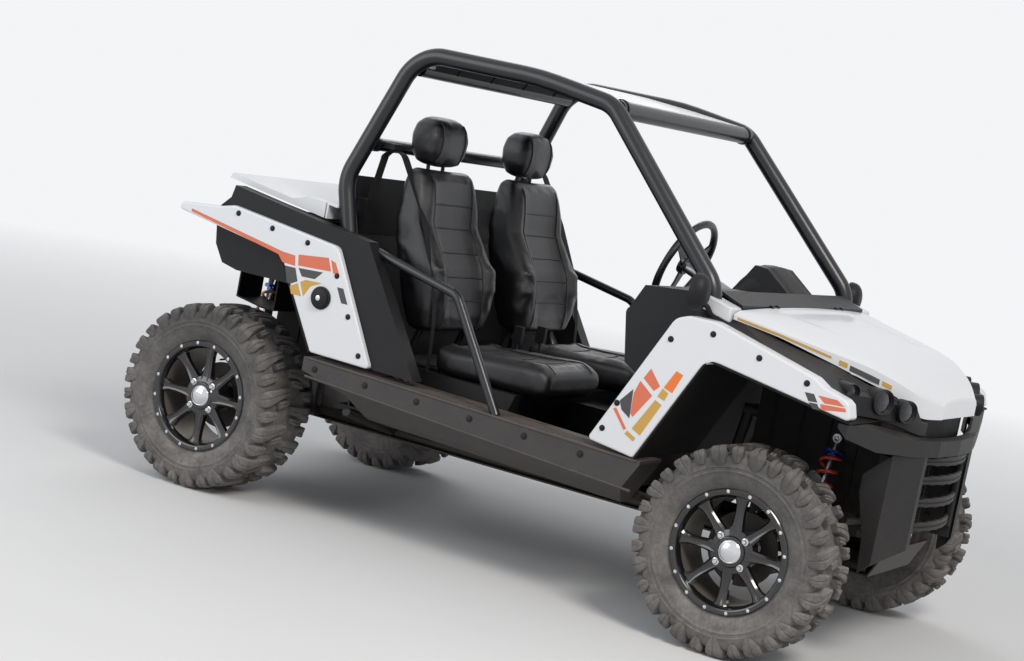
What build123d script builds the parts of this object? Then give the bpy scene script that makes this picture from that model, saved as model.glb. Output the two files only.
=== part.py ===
from build123d import *
import math
import os

# An open two-seat dune buggy with a roll cage, built as separate pieces.
# Millimetres. +X is forward, +Y is the driver's left, +Z is up. The origin is on the ground,
# midway along the length and the width. Right-hand pieces are drawn first, at negative y.
# A table's lengths along x are measured from the front axle or the rear axle, as its name says.

# Stance
WHEELBASE = 2080
NOSE_REACH = 430            # from the front axle to the foremost point of the bumper
HALF_WIDTH = 760            # to the outer sidewalls
TYRE_R = 330                # to the lugs' tips
FRONT_TYRE_W = 235
REAR_TYRE_W = 275
FRONT_X = (WHEELBASE + TYRE_R - NOSE_REACH) / 2
REAR_X = FRONT_X - WHEELBASE
AXLE_Z = TYRE_R

# Fits
SEAM = 0.3                  # between pieces that meet
RUNNING = 0.1               # a shaft's clearance in its bore

# Wheels
BEAD_R = 178                # where the tyre sits on the rim
RING_R = 197                # outer edge of the bolted ring
RING_T = 8
RIM_WALL = 9
FRONT_RIM_W = 178
REAR_RIM_W = 216
HUB_R = 50
HUB_IN = 40                 # the hub's inner face behind the rim's middle
CAP_R = 36
CAP_OUT = 18
SPOKES = 8
SPOKE_T = 26
SPOKE_SET = 34              # the spokes' face behind the ring's face
SPINDLE_R = 20
SPINDLE_L = 60
DISC_R = 118
DISC_T = 5
SPOKE_ROOT = 44             # a spoke's width at the hub
SPOKE_END = 28              # and at the barrel
RIM_SIDES = 24
TYRE_SIDES = 30             # two for each lug
LUGS = 15                   # on each side of the tread
LUG_DEPTH = 22              # from the lugs' tips down to the carcass
LUG_W = 32
LUG_LEAN = 13               # degrees from square across the tread
LUG_REACH = 30              # how far a leaning lug's corner lies from its own middle
LUG_STEP = 6                # how far the lugs stand out from the sidewall
LUG_FOOT_R = 264            # where the lugs begin on the sidewall
BULGE_R = 240               # the widest part of the smooth sidewall

# Suspension and steering
KINGPIN_Y = 545
REAR_PIN_Y = 525
KINGPIN_R = 11
LUG_T = 21.5                # the upright's lugs
LUG_HALF = 22
WEB_T = 19
LOWER_EYE = (228, 262)      # bottom and top of the eye at the lower arm's outer end
UPPER_EYE = (398, 424)
ARM_R = 13
PIVOT_R = 17
LOWER_SPREAD = 150          # half the distance between an arm's two inner pivots
UPPER_SPREAD = 60
SHAFT_R = 13
JOINT_R = 34
OUTER_JOINT_R = 29
JOINT_HALF = 14
DIFF_HALF = 110
DIFF_Z = 352
SPRING_R = 37
DAMPER_R = 19
SPRING_COILS = 5
COIL_T = 9
STEER_ARM = 110             # from the kingpin back to the tie rod's stud
STEER_ARM_Z = 377           # underside of the steering arm
STEER_ARM_T = 16
ROD_R = 9
RACK_Z = 352

# Frame
FRAME_R = 19                # long rails
POST_R = 17
CROSS_R = 16
FRAME_Y = 190
FRAME_Z = 300
MID_Z = 430
POST_DX = 150               # the posts before and behind each axle
NOSE_POST_DX = 255
FRONT_TOP_Z = 707
SKID_T = 6
SKID_Z = FRAME_Z - FRAME_R - SKID_T
HITCH_BORE_R = 10
HITCH_T = 12
HITCH_BACK = 210            # the drawbar's bore behind the rear axle

# Body
BODY_Y = 720                # outer faces of the sills and fenders
COVER_Y = 700               # outer faces of the black covers beside the cargo box
FENDER_DEPTH = 60
PANEL_T = 6                 # moulded panels
SILL_IN_Y = 560
TUBE_R = 30                 # roll cage
RAIL_R = 16                 # hip bars and the grab bar
FLOOR_Z = 405
FLOOR_T = 8
TUNNEL_Z = 560              # top of the tunnel
TUNNEL_HALF = 75
TUB_Z = 782
TUB_HALF = 600
REAR_TOP_Z = TUB_Z - FRAME_R - SEAM
LID_T = 26

BASE = (Align.CENTER, Align.CENTER, Align.MIN)

BEND_STEP = 18              # degrees of a tube's bend in one short run
BORE_SIDES = 16             # flats of a bore around a round pin


# Shapes used by many pieces
def side_shape(points, y_low, y_high):
    """An outline of (x, z) points, solid from y_low to y_high."""
    face = make_face(Polyline(*[(x, y_low, z) for x, z in points], close=True))
    return extrude(face, amount=y_high - y_low, dir=(0, 1, 0))


def plan_shape(points, z_low, z_high):
    """An outline of (x, y) points, solid from z_low to z_high."""
    face = make_face(Polyline(*[(x, y, z_low) for x, y in points], close=True))
    return extrude(face, amount=z_high - z_low, dir=(0, 0, 1))


def block(x_low, x_high, y_low, y_high, z_low, z_high):
    size = (x_high - x_low, y_high - y_low, z_high - z_low)
    middle = ((x_low + x_high) / 2, (y_low + y_high) / 2, (z_low + z_high) / 2)
    return Pos(*middle) * Box(*size)


def rod(start, end, radius):
    """A round bar from one point to another."""
    start, end = Vector(*start), Vector(*end)
    return Plane(origin=start, z_dir=end - start) * Cylinder(radius, (end - start).length, align=BASE)


def cross_rod(x, y_low, y_high, z, radius):
    return rod((x, y_low, z), (x, y_high, z), radius)


def flats(radius, sides):
    """A regular polygon with flats at the radius, the first of them square to the x axis."""
    return RegularPolygon(radius, sides, major_radius=False, rotation=180 / sides)


def bar(start, end, radius, sides=8):
    """A tube drawn with few faces from one point to another."""
    start, end = Vector(*start), Vector(*end)
    return extrude(Plane(origin=start, z_dir=end - start) * flats(radius, sides), (end - start).length,
                   dir=(end - start).normalized())


def cross_bar(x, y_low, y_high, z, radius, sides=8):
    return bar((x, y_low, z), (x, y_high, z), radius, sides)


def rounded(points, radii):
    """The corners of a line whose bends are arcs, each drawn as a few short runs."""
    route = [Vector(*points[0])]
    for before, corner, after, radius in zip(points, points[1:], points[2:], radii):
        corner = Vector(*corner)
        back = (Vector(*before) - corner).normalized()
        onward = (Vector(*after) - corner).normalized()
        turn = math.pi - math.acos(back.dot(onward))
        middle = corner + (back + onward).normalized() * (radius / math.cos(turn / 2))
        outward = (corner + back * (radius * math.tan(turn / 2)) - middle).normalized()
        steps = max(1, round(math.degrees(turn) / BEND_STEP))
        for n in range(steps + 1):
            angle = turn * n / steps
            route.append(middle + outward * (radius * math.cos(angle)) - back * (radius * math.sin(angle)))
    return route + [Vector(*points[-1])]


def bent_tube(points, radii, radius, sides=8):
    """A tube drawn with few faces along straight runs and bends, mitred where the runs meet."""
    route = rounded(points, radii)
    start = Plane(origin=route[0], z_dir=route[1] - route[0])
    corner = radius / math.cos(math.pi / sides)
    turns = [math.tau * (n + 0.5) / sides for n in range(sides)]
    ring = [start.from_local_coords(Vector(corner * math.cos(t), corner * math.sin(t), 0)) for t in turns]
    sections = [ring]
    for before, here, after in zip(route, route[1:], route[2:] + [route[-1] * 2 - route[-2]]):
        run = (here - before).normalized()
        normal = run + (after - here).normalized()
        ring = [p + run * ((here - p).dot(normal) / run.dot(normal)) for p in ring]
        sections.append(ring)
    return skinned(sections)


def skinned(sections):
    """A solid through closed outlines of equally many points. A side that isn't flat is two triangles."""
    faces = [sections[0], sections[-1]]
    for low, high in zip(sections, sections[1:]):
        for p, q, r, s in zip(low, low[1:] + low[:1], high[1:] + high[:1], high):
            p, q, r, s = Vector(*p), Vector(*q), Vector(*r), Vector(*s)
            if abs((q - p).cross(r - p).dot(s - p)) < 0.01:
                faces.append([p, q, r, s])
            elif (r - p).length < (s - q).length:
                faces += [[p, q, r], [p, r, s]]
            else:
                faces += [[p, q, s], [q, r, s]]
    return Solid(Shell([Face(Wire.make_polygon(points)) for points in faces]))


def drum(sections, sides, plane=Plane.ZX):
    """A solid of few flat sides about an axis, through (distance along it, radius) sections."""
    rings = []
    for along, radius in sections:
        corner = radius / math.cos(math.pi / sides)
        turns = [math.tau * (n + 0.5) / sides for n in range(sides)]
        rings.append([plane.from_local_coords(Vector(corner * math.cos(t), corner * math.sin(t), along))
                      for t in turns])
    return skinned(rings)


def moved(points, x):
    return [(x + dx, z) for dx, z in points]


def shifted(points, distance):
    """The same open line moved sideways to its left, with sharp corners."""
    normals = []
    for (x0, z0), (x1, z1) in zip(points, points[1:]):
        length = math.hypot(x1 - x0, z1 - z0)
        normals.append(((z0 - z1) / length, (x1 - x0) / length))
    ends = [normals[0]] + normals + [normals[-1]]
    line = []
    for (x, z), before, after in zip(points, ends, ends[1:]):
        scale = distance / (1 + before[0] * after[0] + before[1] * after[1])
        line.append((x + (before[0] + after[0]) * scale, z + (before[1] + after[1]) * scale))
    return line


def sheet(points, thickness, start=0):
    """The outline of a bent sheet: an open line thickened to its left, from a first distance."""
    return shifted(points, start) + shifted(points, start + thickness)[::-1]


def inset(points, amount, y_low, y_high):
    """A closed outline of (x, z) points shrunk by an amount, solid between two values of y."""
    face = make_face(Polyline(*[(x, y_low, z) for x, z in points], close=True))
    return extrude(offset(face, amount=-amount, kind=Kind.INTERSECTION), amount=y_high - y_low, dir=(0, 1, 0))



def both_sides(right):
    """A piece of the right side and its mirror image on the left."""
    return [right, mirror(right, about=Plane.XZ)]


def largest(shape):
    """What is left of a piece once the slivers of a cut are dropped."""
    return shape.solids().sort_by(SortBy.VOLUME)[-1]


# Hinges of the lids
HINGE_R = 8
HINGE_PIN_R = 4
BARREL_HALF = 20
EAR_W = 12
HINGE_SPACE = 3             # between a hinge and the panel it is let into


def hinges(fixed, lid, x, z, places):
    """Hinges let into the seam between a fixed panel and its lid. Each is a barrel on the lid,
    between two ears that hold its pin."""
    for y in places:
        low, high = y - BARREL_HALF, y + BARREL_HALF
        ear_low, ear_high = low - SEAM - EAR_W, high + SEAM + EAR_W
        fixed -= cross_bar(x, low - SEAM, high + SEAM, z, HINGE_R + HINGE_SPACE)
        lid -= cross_bar(x, ear_low - HINGE_SPACE, low, z, HINGE_R + HINGE_SPACE)
        lid -= cross_bar(x, high, ear_high + HINGE_SPACE, z, HINGE_R + HINGE_SPACE)
        lid += cross_bar(x, low, high, z, HINGE_R)
        lid -= cross_bar(x, low, high, z, HINGE_PIN_R + RUNNING, BORE_SIDES)
        fixed += cross_bar(x, ear_low, low - SEAM, z, HINGE_R)
        fixed += cross_bar(x, high + SEAM, ear_high, z, HINGE_R)
        fixed += cross_rod(x, ear_low + EAR_W / 2, ear_high - EAR_W / 2, z, HINGE_PIN_R)
    return largest(fixed), largest(lid)


# Wheels: drawn about their own centre, with the outer face towards -Y
def tyre(width, rim_width):
    """A closed ring that fills the rim's well, with a row of leaning lugs along each shoulder."""
    half, seat = width / 2, rim_width / 2
    side, crown = half - LUG_STEP, TYRE_R - LUG_DEPTH
    edge = half * 0.78
    carcass = drum([(-side, crown), (side, crown)], TYRE_SIDES)
    for sign in (-1, 1):
        ends = [(sign * (side + 1), BULGE_R + 1.7), (sign * seat, RING_R + 4)]
        carcass -= drum(sorted(ends), TYRE_SIDES)
    top = math.sqrt(TYRE_R ** 2 - LUG_REACH ** 2)
    profile = [(8, crown - 12), (8, top), (edge, top), (half, top - 16), (half, LUG_FOOT_R),
               (side - 4, LUG_FOOT_R), (side - 4, crown - 12)]
    lug = extrude(make_face(Polyline(*[(-LUG_W / 2, y, z) for y, z in profile], close=True)), LUG_W,
                  dir=(1, 0, 0))
    middle = (8 + half) / 2
    lug = Pos(0, middle, 0) * Rot(0, 0, LUG_LEAN) * Pos(0, -middle, 0) * lug
    lug = lug & block(-100, 100, 0, half, 0, TYRE_R)
    pitch = 360 / LUGS
    lugs = []
    for n in range(LUGS):
        lugs += (Rot(0, n * pitch, 0) * lug).solids()
        lugs += (Rot(0, (n + 0.5) * pitch, 0) * mirror(lug, about=Plane.XZ)).solids()
    solid = Rot(0, pitch / 4, 0) * carcass.fuse(*lugs)
    return solid - drum([(-half, BEAD_R + SEAM), (half, BEAD_R + SEAM)], RIM_SIDES)


def rim(rim_width):
    """Barrel with a bolted ring, spokes, hub with its cap, and the brake disc on the hub."""
    half, inner = rim_width / 2, BEAD_R - RIM_WALL
    edge = half + RING_T
    wheel = drum([(-edge, BEAD_R), (edge, BEAD_R)], RIM_SIDES)
    wheel += drum([(-edge, RING_R), (-half, RING_R)], RIM_SIDES)
    wheel += drum([(half, RING_R), (edge, RING_R)], RIM_SIDES)
    wheel -= drum([(-edge - 1, inner), (edge + 1, inner)], RIM_SIDES)
    face_y = SPOKE_SET - edge
    wheel += drum([(face_y - 6, HUB_R), (HUB_IN, HUB_R)], BORE_SIDES)
    wheel += drum([(face_y - 6 - CAP_OUT, CAP_R - 6), (face_y - 6, CAP_R)], BORE_SIDES)
    wheel += drum([(HUB_IN - DISC_T - 12, DISC_R), (HUB_IN - 12, DISC_R)], BORE_SIDES)
    root, end = SPOKE_ROOT / 2, SPOKE_END / 2
    spoke = side_shape([(-root, HUB_R - 8), (root, HUB_R - 8), (end, inner + 2), (-end, inner + 2)],
                       face_y, face_y + SPOKE_T)
    for n in range(SPOKES):
        wheel += Rot(0, n * 360 / SPOKES, 0) * spoke
    return wheel - drum([(HUB_IN - SPINDLE_L, SPINDLE_R + RUNNING), (HUB_IN, SPINDLE_R + RUNNING)], BORE_SIDES)


WHEELS = {  # name: (axle x, side, tyre width, rim width)
    "front_right": (FRONT_X, -1, FRONT_TYRE_W, FRONT_RIM_W),
    "front_left": (FRONT_X, 1, FRONT_TYRE_W, FRONT_RIM_W),
    "rear_right": (REAR_X, -1, REAR_TYRE_W, REAR_RIM_W),
    "rear_left": (REAR_X, 1, REAR_TYRE_W, REAR_RIM_W),
}


def wheel_pieces():
    made = {}
    for name, (x, side, width, rim_width) in WHEELS.items():
        place = Pos(x, side * (HALF_WIDTH - width / 2), AXLE_Z)
        for kind, solid in (("tyre", tyre(width, rim_width)), ("rim", rim(rim_width))):
            made[f"{kind}_{name}"] = place * (mirror(solid, about=Plane.XZ) if side > 0 else solid)
    return made


# Suspension
def hub_y(tyre_width):
    """The inner face of the right hub."""
    return -(HALF_WIDTH - tyre_width / 2) + HUB_IN


def upright(axle_x, pin_y, tyre_width, bore_sides):
    """The upright of the right wheel: a web, a lug above each arm's ball pin, and the wheel's spindle."""
    web_out = hub_y(tyre_width) + SEAM
    low, high = LOWER_EYE[1] + SEAM, UPPER_EYE[0] - SEAM
    solid = block(axle_x - 30, axle_x + 30, web_out, web_out + WEB_T, low, high)
    for z in (low, high - LUG_T):
        solid += block(axle_x - LUG_HALF, axle_x + LUG_HALF, web_out, -pin_y + LUG_HALF, z, z + LUG_T)
    solid += cross_rod(axle_x, web_out - SPINDLE_L + 8, web_out, AXLE_Z, SPINDLE_R)
    return solid - bar((axle_x, -pin_y, low), (axle_x, -pin_y, high), KINGPIN_R + RUNNING, bore_sides)


def knuckle():
    """The steered upright, with its steering arm running back from the upper lug."""
    arm = block(FRONT_X - STEER_ARM - 16, FRONT_X - LUG_HALF, -KINGPIN_Y - 14, -KINGPIN_Y + 14,
                STEER_ARM_Z, STEER_ARM_Z + STEER_ARM_T)
    return upright(FRONT_X, KINGPIN_Y, FRONT_TYRE_W, BORE_SIDES) + arm


def pivot_y():
    return -(FRAME_Y + FRAME_R + PIVOT_R + SEAM)


def wishbone(axle_x, pin_y, eye, bar_z, pin, inner_z, spread):
    """Two bars from the frame to an eye, with the pin that the upright sits on. The front pin is
    round, because the upright turns on it."""
    solid = bar((axle_x, -pin_y, eye[0]), (axle_x, -pin_y, eye[1]), 20)
    shape = rod if axle_x == FRONT_X else bar
    solid += shape((axle_x, -pin_y, pin[0]), (axle_x, -pin_y, pin[1]), KINGPIN_R)
    for dx in (-spread, spread):
        x, y = axle_x + dx, pivot_y()
        solid += bar((x, y, inner_z), (axle_x, -pin_y, bar_z), ARM_R, 6)
        solid += bar((x - 22, y, inner_z), (x + 22, y, inner_z), PIVOT_R)
    return solid


COILOVERS = {  # name: (axle x, foot dx, foot y, head dx)
    "front": (FRONT_X, 92, -400, 100),
    "rear": (REAR_X, -92, -395, -100),
}
SHOCK_FOOT_Z = 292


def coilover(foot, head):
    """A damper in its coil spring, with the coils as ribs and an eye across each end."""
    length = (head - foot).length
    low, high = 46, length - 70
    solid = extrude(flats(DAMPER_R, 6), length)
    step = (high - low) / (SPRING_COILS - 1)
    for n in range(SPRING_COILS):
        solid += Pos(0, 0, low + n * step) * extrude(flats(SPRING_R, 8), COIL_T)
    return Plane(origin=foot, z_dir=head - foot) * solid


def suspension(frame_solid):
    arms, shocks = [], []
    for name, axle_x, pin_y in (("front", FRONT_X, KINGPIN_Y), ("rear", REAR_X, REAR_PIN_Y)):
        axle, foot_dx, foot_y, head_dx = COILOVERS[name]
        foot = Vector(axle_x + foot_dx, foot_y, SHOCK_FOOT_Z)
        head_z = FRONT_TOP_Z - 13 if name == "front" else REAR_TOP_Z
        head = Vector(axle_x + head_dx, -FRAME_Y - FRAME_R - 26, head_z)
        shock = coilover(foot, head)
        shock += cross_bar(head.X, head.Y - 16, -FRAME_Y, head.Z, 16) - frame_solid
        side = math.copysign(1, foot_dx)
        lug = 16
        lower = wishbone(axle_x, pin_y, LOWER_EYE, LOWER_EYE[0] + ARM_R - 1,
                         (LOWER_EYE[1] - 5, LOWER_EYE[1] + LUG_T), FRAME_Z, LOWER_SPREAD)
        lower += block(*sorted((foot.X + side * 18, foot.X - side * 48)), foot_y - lug, foot_y + lug, 262, 300)
        lower -= shock
        upper = wishbone(axle_x, pin_y, UPPER_EYE, UPPER_EYE[0] + ARM_R + 2,
                         (UPPER_EYE[0] - LUG_T, UPPER_EYE[0] + 5), MID_Z, UPPER_SPREAD)
        arms += both_sides(lower) + both_sides(upper)
        shocks += both_sides(shock)
    return arms, shocks


def half_shafts():
    """Each shaft runs from the gearcase to a joint inside the upright."""
    made = []
    for axle_x, pin_y in ((FRONT_X, KINGPIN_Y), (REAR_X, REAR_PIN_Y)):
        inner = (axle_x, -DIFF_HALF - 30, DIFF_Z)
        outer = (axle_x, -pin_y, AXLE_Z)
        shaft = cross_bar(axle_x, -DIFF_HALF - 56, -DIFF_HALF, DIFF_Z, JOINT_R)
        shaft += bar(inner, outer, SHAFT_R, 6)
        shaft += cross_bar(axle_x, -pin_y - JOINT_HALF, -pin_y + JOINT_HALF + 10, AXLE_Z, OUTER_JOINT_R)
        made += both_sides(shaft)
    return made


def tie_rods():
    """The rack and both tie rods, one sliding bar. Each stud ends just below its steering arm."""
    x = FRONT_X - STEER_ARM
    solid = cross_bar(x, -KINGPIN_Y, KINGPIN_Y, RACK_Z, ROD_R)
    for y in (-KINGPIN_Y, KINGPIN_Y):
        solid += bar((x, y, RACK_Z - 11), (x, y, RACK_Z + 11), 14)
        solid += bar((x, y, RACK_Z), (x, y, STEER_ARM_Z - SEAM), 7)
    return solid


def rack_housing():
    """The rack's tube, held against the cross bar behind it."""
    x = FRONT_X - STEER_ARM
    radius = POST_DX - STEER_ARM - CROSS_R - SEAM
    return cross_bar(x, -120, 120, RACK_Z, radius) - cross_bar(x, -121, 121, RACK_Z, ROD_R + RUNNING)


# Frame: bars of the right side as start x and z, end x and z, and radius
def frame_bars():
    rear, front = REAR_X, FRONT_X
    low, mid, top, back_top = FRAME_Z, MID_Z, FRONT_TOP_Z, REAR_TOP_Z
    nose, belt = front + NOSE_POST_DX, front - 240
    bars = [
        (rear - POST_DX - POST_R, low, nose + POST_R, low, FRAME_R),
        (belt - POST_R, top, nose + POST_R, top, FRAME_R),
        (belt, top, front - 300, low, POST_R),
        (rear - POST_DX - POST_R, back_top, rear + 420 + POST_R, back_top, FRAME_R),
        (rear + 420, back_top, rear + 450, low, POST_R),
        (nose, low, nose, top, POST_R),
    ]
    for axle, height in ((rear, back_top), (front, top)):
        bars.append((axle - POST_DX, mid, axle + POST_DX, mid, FRAME_R))
        bars += [(axle + dx, low, axle + dx, height, POST_R) for dx in (-POST_DX, POST_DX)]
    return bars


def frame_cross():
    rear, front = REAR_X, FRONT_X
    return [  # x, z
        (rear - POST_DX, FRAME_Z), (rear - POST_DX, REAR_TOP_Z), (rear + 420, REAR_TOP_Z), (rear + 500, FRAME_Z),
        (front - POST_DX, RACK_Z), (front - 240, FRONT_TOP_Z), (front + NOSE_POST_DX, FRAME_Z),
        (front + NOSE_POST_DX, FRONT_TOP_Z), (front - 430, FRAME_Z),
    ]


OUTRIGGERS = [REAR_X + 500, FRONT_X - 430]


def frame():
    solid = Part()
    for y in (-FRAME_Y, FRAME_Y):
        for x0, z0, x1, z1, radius in frame_bars():
            solid += bar((x0, y, z0), (x1, y, z1), radius)
        for x in OUTRIGGERS:
            solid += bar((x, y, FRAME_Z), (x, math.copysign(SILL_IN_Y - 20, y), FLOOR_Z - POST_R - 1), POST_R)
    for x, z in frame_cross():
        solid += cross_bar(x, -FRAME_Y, FRAME_Y, z, CROSS_R)
    back = REAR_X - POST_DX
    hitch = block(REAR_X - HITCH_BACK - 30, back, -38, 38, FRAME_Z - HITCH_T / 2, FRAME_Z + HITCH_T / 2)
    return solid + hitch - Pos(REAR_X - HITCH_BACK, 0, FRAME_Z) * Cylinder(HITCH_BORE_R, HITCH_T * 2)


def skid_plate():
    """The belly plate, turned up in front of the frame."""
    front = FRONT_X + NOSE_POST_DX
    line = [(REAR_X - 100, SKID_Z), (front + 26, SKID_Z), (front + 74, FRAME_Z + 74)]
    plate = side_shape(sheet(line, SKID_T - SEAM), -FRAME_Y - 20, FRAME_Y + 20)
    return plate - cross_bar(front, -300, 300, FRAME_Z, FRAME_R + SEAM)


# Roll cage
CAGE_POINTS = [  # x, y, z, bend radius: the right side, from the rear foot to the front foot
    (REAR_X + 740, -600, 540, 0),
    (REAR_X + 430, -604, 960, 150),
    (REAR_X + 362, -600, 1190, 150),
    (REAR_X + 545, -570, 1663, 150),
    (REAR_X + 1030, -567, 1653, 900),
    (FRONT_X - 770, -564, 1609, 120),
    (FRONT_X - 255, -603, 1084, 120),
    (FRONT_X - 470, -603, 530, 0),
]
HARNESS_Z = 1325
REAR_BAR_Z = 1612
FRONT_BAR_Z = 1600


def cage_side(radius):
    points = [(x, y, z) for x, y, z, bend in CAGE_POINTS]
    return bent_tube(points, [bend for x, y, z, bend in CAGE_POINTS[1:-1]], radius)


def cage():
    right = cage_side(TUBE_R) - sill()
    left = mirror(right, about=Plane.XZ)
    bars = []
    for x, z, radius in ((FRONT_X - 764, FRONT_BAR_Z, TUBE_R), (REAR_X + 540, REAR_BAR_Z, TUBE_R),
                         (REAR_X + 420, HARNESS_Z, TUBE_R * 0.75)):
        bars.append(largest(cross_bar(x, -600, 600, z, radius) - right - left))
    return {"cage_right": right, "cage_left": left, "cage_crossbars": bars}


ROOF_LINE = [(568, 1612), (600, 1672), (890, 1662), (1090, 1644), (1296, 1620)]     # from the rear axle
ROOF_T = 10
ROOF_HALF = 550


def roof(bars, cage_hole):
    """A moulded panel let in between the rails, turned down onto the rear crossbar."""
    panel = side_shape(sheet(moved(ROOF_LINE, REAR_X), ROOF_T), -ROOF_HALF, ROOF_HALF)
    return largest(panel - bars[0] - bars[1] - cage_hole - mirror(cage_hole, about=Plane.XZ))


# Lower body
SILL_ENDS = [  # x, top, height of the upright outer face
    (REAR_X + 404, 566, 66),
    (FRONT_X - 356, 525, 100),
]
SILL_DROP = 162
SILL_TUCK = 95              # how far the underside runs in


def sill():
    """A moulded step: upright outer face, underside that tucks in, and cut-back ends."""
    sections = []
    for x, top, band in SILL_ENDS:
        low = top - SILL_DROP
        sections.append([(x, -BODY_Y, top), (x, -BODY_Y, top - band), (x, -BODY_Y + SILL_TUCK, low),
                         (x, -SILL_IN_Y, low), (x, -SILL_IN_Y, top)])
    rear, front = SILL_ENDS[0][0], SILL_ENDS[1][0]
    solid = skinned(sections)
    solid -= side_shape([(front - 92, 350), (front, 515), (front + 60, 515), (front + 60, 350)], -BODY_Y - 5, -500)
    solid -= side_shape([(rear - 5, 520), (rear + 180, 470), (rear + 250, 390), (rear - 5, 390)], -BODY_Y - 5, -500)
    return solid


ARCH_FRONT = [(-386, 530), (-203, 893), (292, 809)]     # the front wheel arch's edge, from the front axle
ARCH_REAR = [(-247, 964), (233, 887), (421, 584)]       # the rear wheel arch's edge, from the rear axle


def floor_pan():
    """The floor with its toe board behind the front arch, and the tunnel between the footwells."""
    foot, knee = moved(ARCH_FRONT, FRONT_X)[:2]
    slope = (knee[0] - foot[0]) / (knee[1] - foot[1])
    line = [(REAR_X + 470, FLOOR_Z), (foot[0] - slope * (foot[1] - FLOOR_Z), FLOOR_Z),
            (foot[0] + slope * 270, foot[1] + 270)]
    half = SILL_IN_Y - SEAM
    pan = side_shape(sheet(line, FLOOR_T), -half, half)
    low = FLOOR_Z + 1
    top = [(REAR_X + 1088.2, low), (REAR_X + 1138.2, TUNNEL_Z), (line[1][0] + 60, TUNNEL_Z), (line[1][0] - 5, low)]
    half = TUNNEL_HALF
    return pan + side_shape(top, -half, half) - inset(top, PANEL_T, -half + PANEL_T, half - PANEL_T)


SEAT_BASE = [(540, FLOOR_Z + FLOOR_T), (1090, FLOOR_Z + FLOOR_T), (1150, 598), (540, 598)]   # from the rear axle
BASE_HALF = 545


def seat_base():
    """The moulded box that the seats stand on."""
    outline = moved(SEAT_BASE, REAR_X)
    shell = side_shape(outline, -BASE_HALF, BASE_HALF)
    return shell - inset(outline, PANEL_T, -BASE_HALF + PANEL_T, BASE_HALF - PANEL_T)


BULKHEAD = [(520, FLOOR_Z + FLOOR_T + 1), (500, 640), (380, 1000), (368, 1205)]    # from the rear axle


def bulkhead(cage_hole):
    """The wall behind the seats, from the floor to shoulder height."""
    half = SILL_IN_Y - SEAM
    wall = side_shape(sheet(moved(BULKHEAD, REAR_X), 8), -half, half)
    return largest(wall - cage_hole - mirror(cage_hole, about=Plane.XZ))


# Seats: outlines from the rear axle
SEAT_Y = 325
SEAT_HALF = 220
CUSHION = [(800, 598.3), (1225, 598.3), (1255, 625), (1262, 690), (1205, 722), (840, 702), (790, 715)]
BACK = [(640, 715.5), (780, 716), (800, 930), (660, 1060), (650, 1180), (610, 1290), (530, 1290), (525, 1050)]
HEADREST = [(480, 1280), (600, 1290), (610, 1420), (570, 1462), (500, 1462), (470, 1400)]
SEAT_FOOT = [(640, 598.3), (789.7, 598.3), (779.7, 715.2), (640, 715.2)]


def seats():
    cushions, backs = [], []
    for y in (-SEAT_Y, SEAT_Y):
        cushions.append(side_shape(moved(CUSHION, REAR_X), y - SEAT_HALF, y + SEAT_HALF))
        back = side_shape(moved(BACK, REAR_X), y - SEAT_HALF, y + SEAT_HALF)
        back += side_shape(moved(SEAT_FOOT, REAR_X), y - SEAT_HALF, y + SEAT_HALF)
        backs.append(back + side_shape(moved(HEADREST, REAR_X), y - 130, y + 130))
    return {"seat_cushions": cushions, "seat_backs": backs}


# Front of the cabin
WHEEL_AT = Vector(FRONT_X - 810, 330, 1097)
WHEEL_R = 172
WHEEL_TUBE_R = 14
HUB_T = 30
COLUMN_TILT = 20            # degrees above the horizontal
COLUMN_AXIS = Vector(-math.cos(math.radians(COLUMN_TILT)), 0, math.sin(math.radians(COLUMN_TILT)))
COLUMN_R = 24
COLUMN_L = 300
DASH = [(-420, 720), (-560, 800), (-590, 960), (-540, 1060), (-268, 1084), (-262, 1070), (-262, 790)]
POD = [(-564, 1040), (-488, 1158), (-440, 1155), (-328, 1070)]
DASH_HALF = 545


def steering_wheel():
    """A rim of eight-sided section, three spokes and a hub."""
    tube, flat = WHEEL_TUBE_R, WHEEL_TUBE_R * math.tan(math.pi / 8)
    outer, inner = [
        [(-tube, WHEEL_R + sign * flat), (-flat, WHEEL_R + sign * tube), (flat, WHEEL_R + sign * tube),
         (tube, WHEEL_R + sign * flat)] for sign in (1, -1)]
    solid = drum(outer, RIM_SIDES, Plane.XY) - drum(inner, RIM_SIDES, Plane.XY)
    solid += drum([(-HUB_T / 2, 38), (HUB_T / 2, 38)], 12, Plane.XY)
    for turn in (90, 210, 330):
        solid += Rot(0, 0, turn) * Pos(WHEEL_R / 2, 0, 0) * Box(WHEEL_R - 8, 24, 8)
    return Plane(origin=WHEEL_AT, z_dir=COLUMN_AXIS, x_dir=(0, 1, 0)) * solid


def column(shape):
    start = WHEEL_AT - COLUMN_AXIS * (HUB_T / 2 + SEAM)
    return shape(start, start - COLUMN_AXIS * COLUMN_L, COLUMN_R)


def dash_block():
    return side_shape(moved(DASH, FRONT_X), -DASH_HALF, DASH_HALF)


def dash(floor_solid):
    """A hollow dashboard open towards the front, with the instrument pod on top."""
    skin = side_shape(sheet(moved(DASH, FRONT_X)[:5], -FLOOR_T), -DASH_HALF, DASH_HALF)
    for y in (-DASH_HALF, DASH_HALF - FLOOR_T):
        skin += side_shape(moved(DASH, FRONT_X), y, y + FLOOR_T)
    skin += side_shape(moved(POD, FRONT_X), WHEEL_AT.Y - 120, WHEEL_AT.Y + 120)
    return skin - column(bar) - floor_solid


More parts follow.
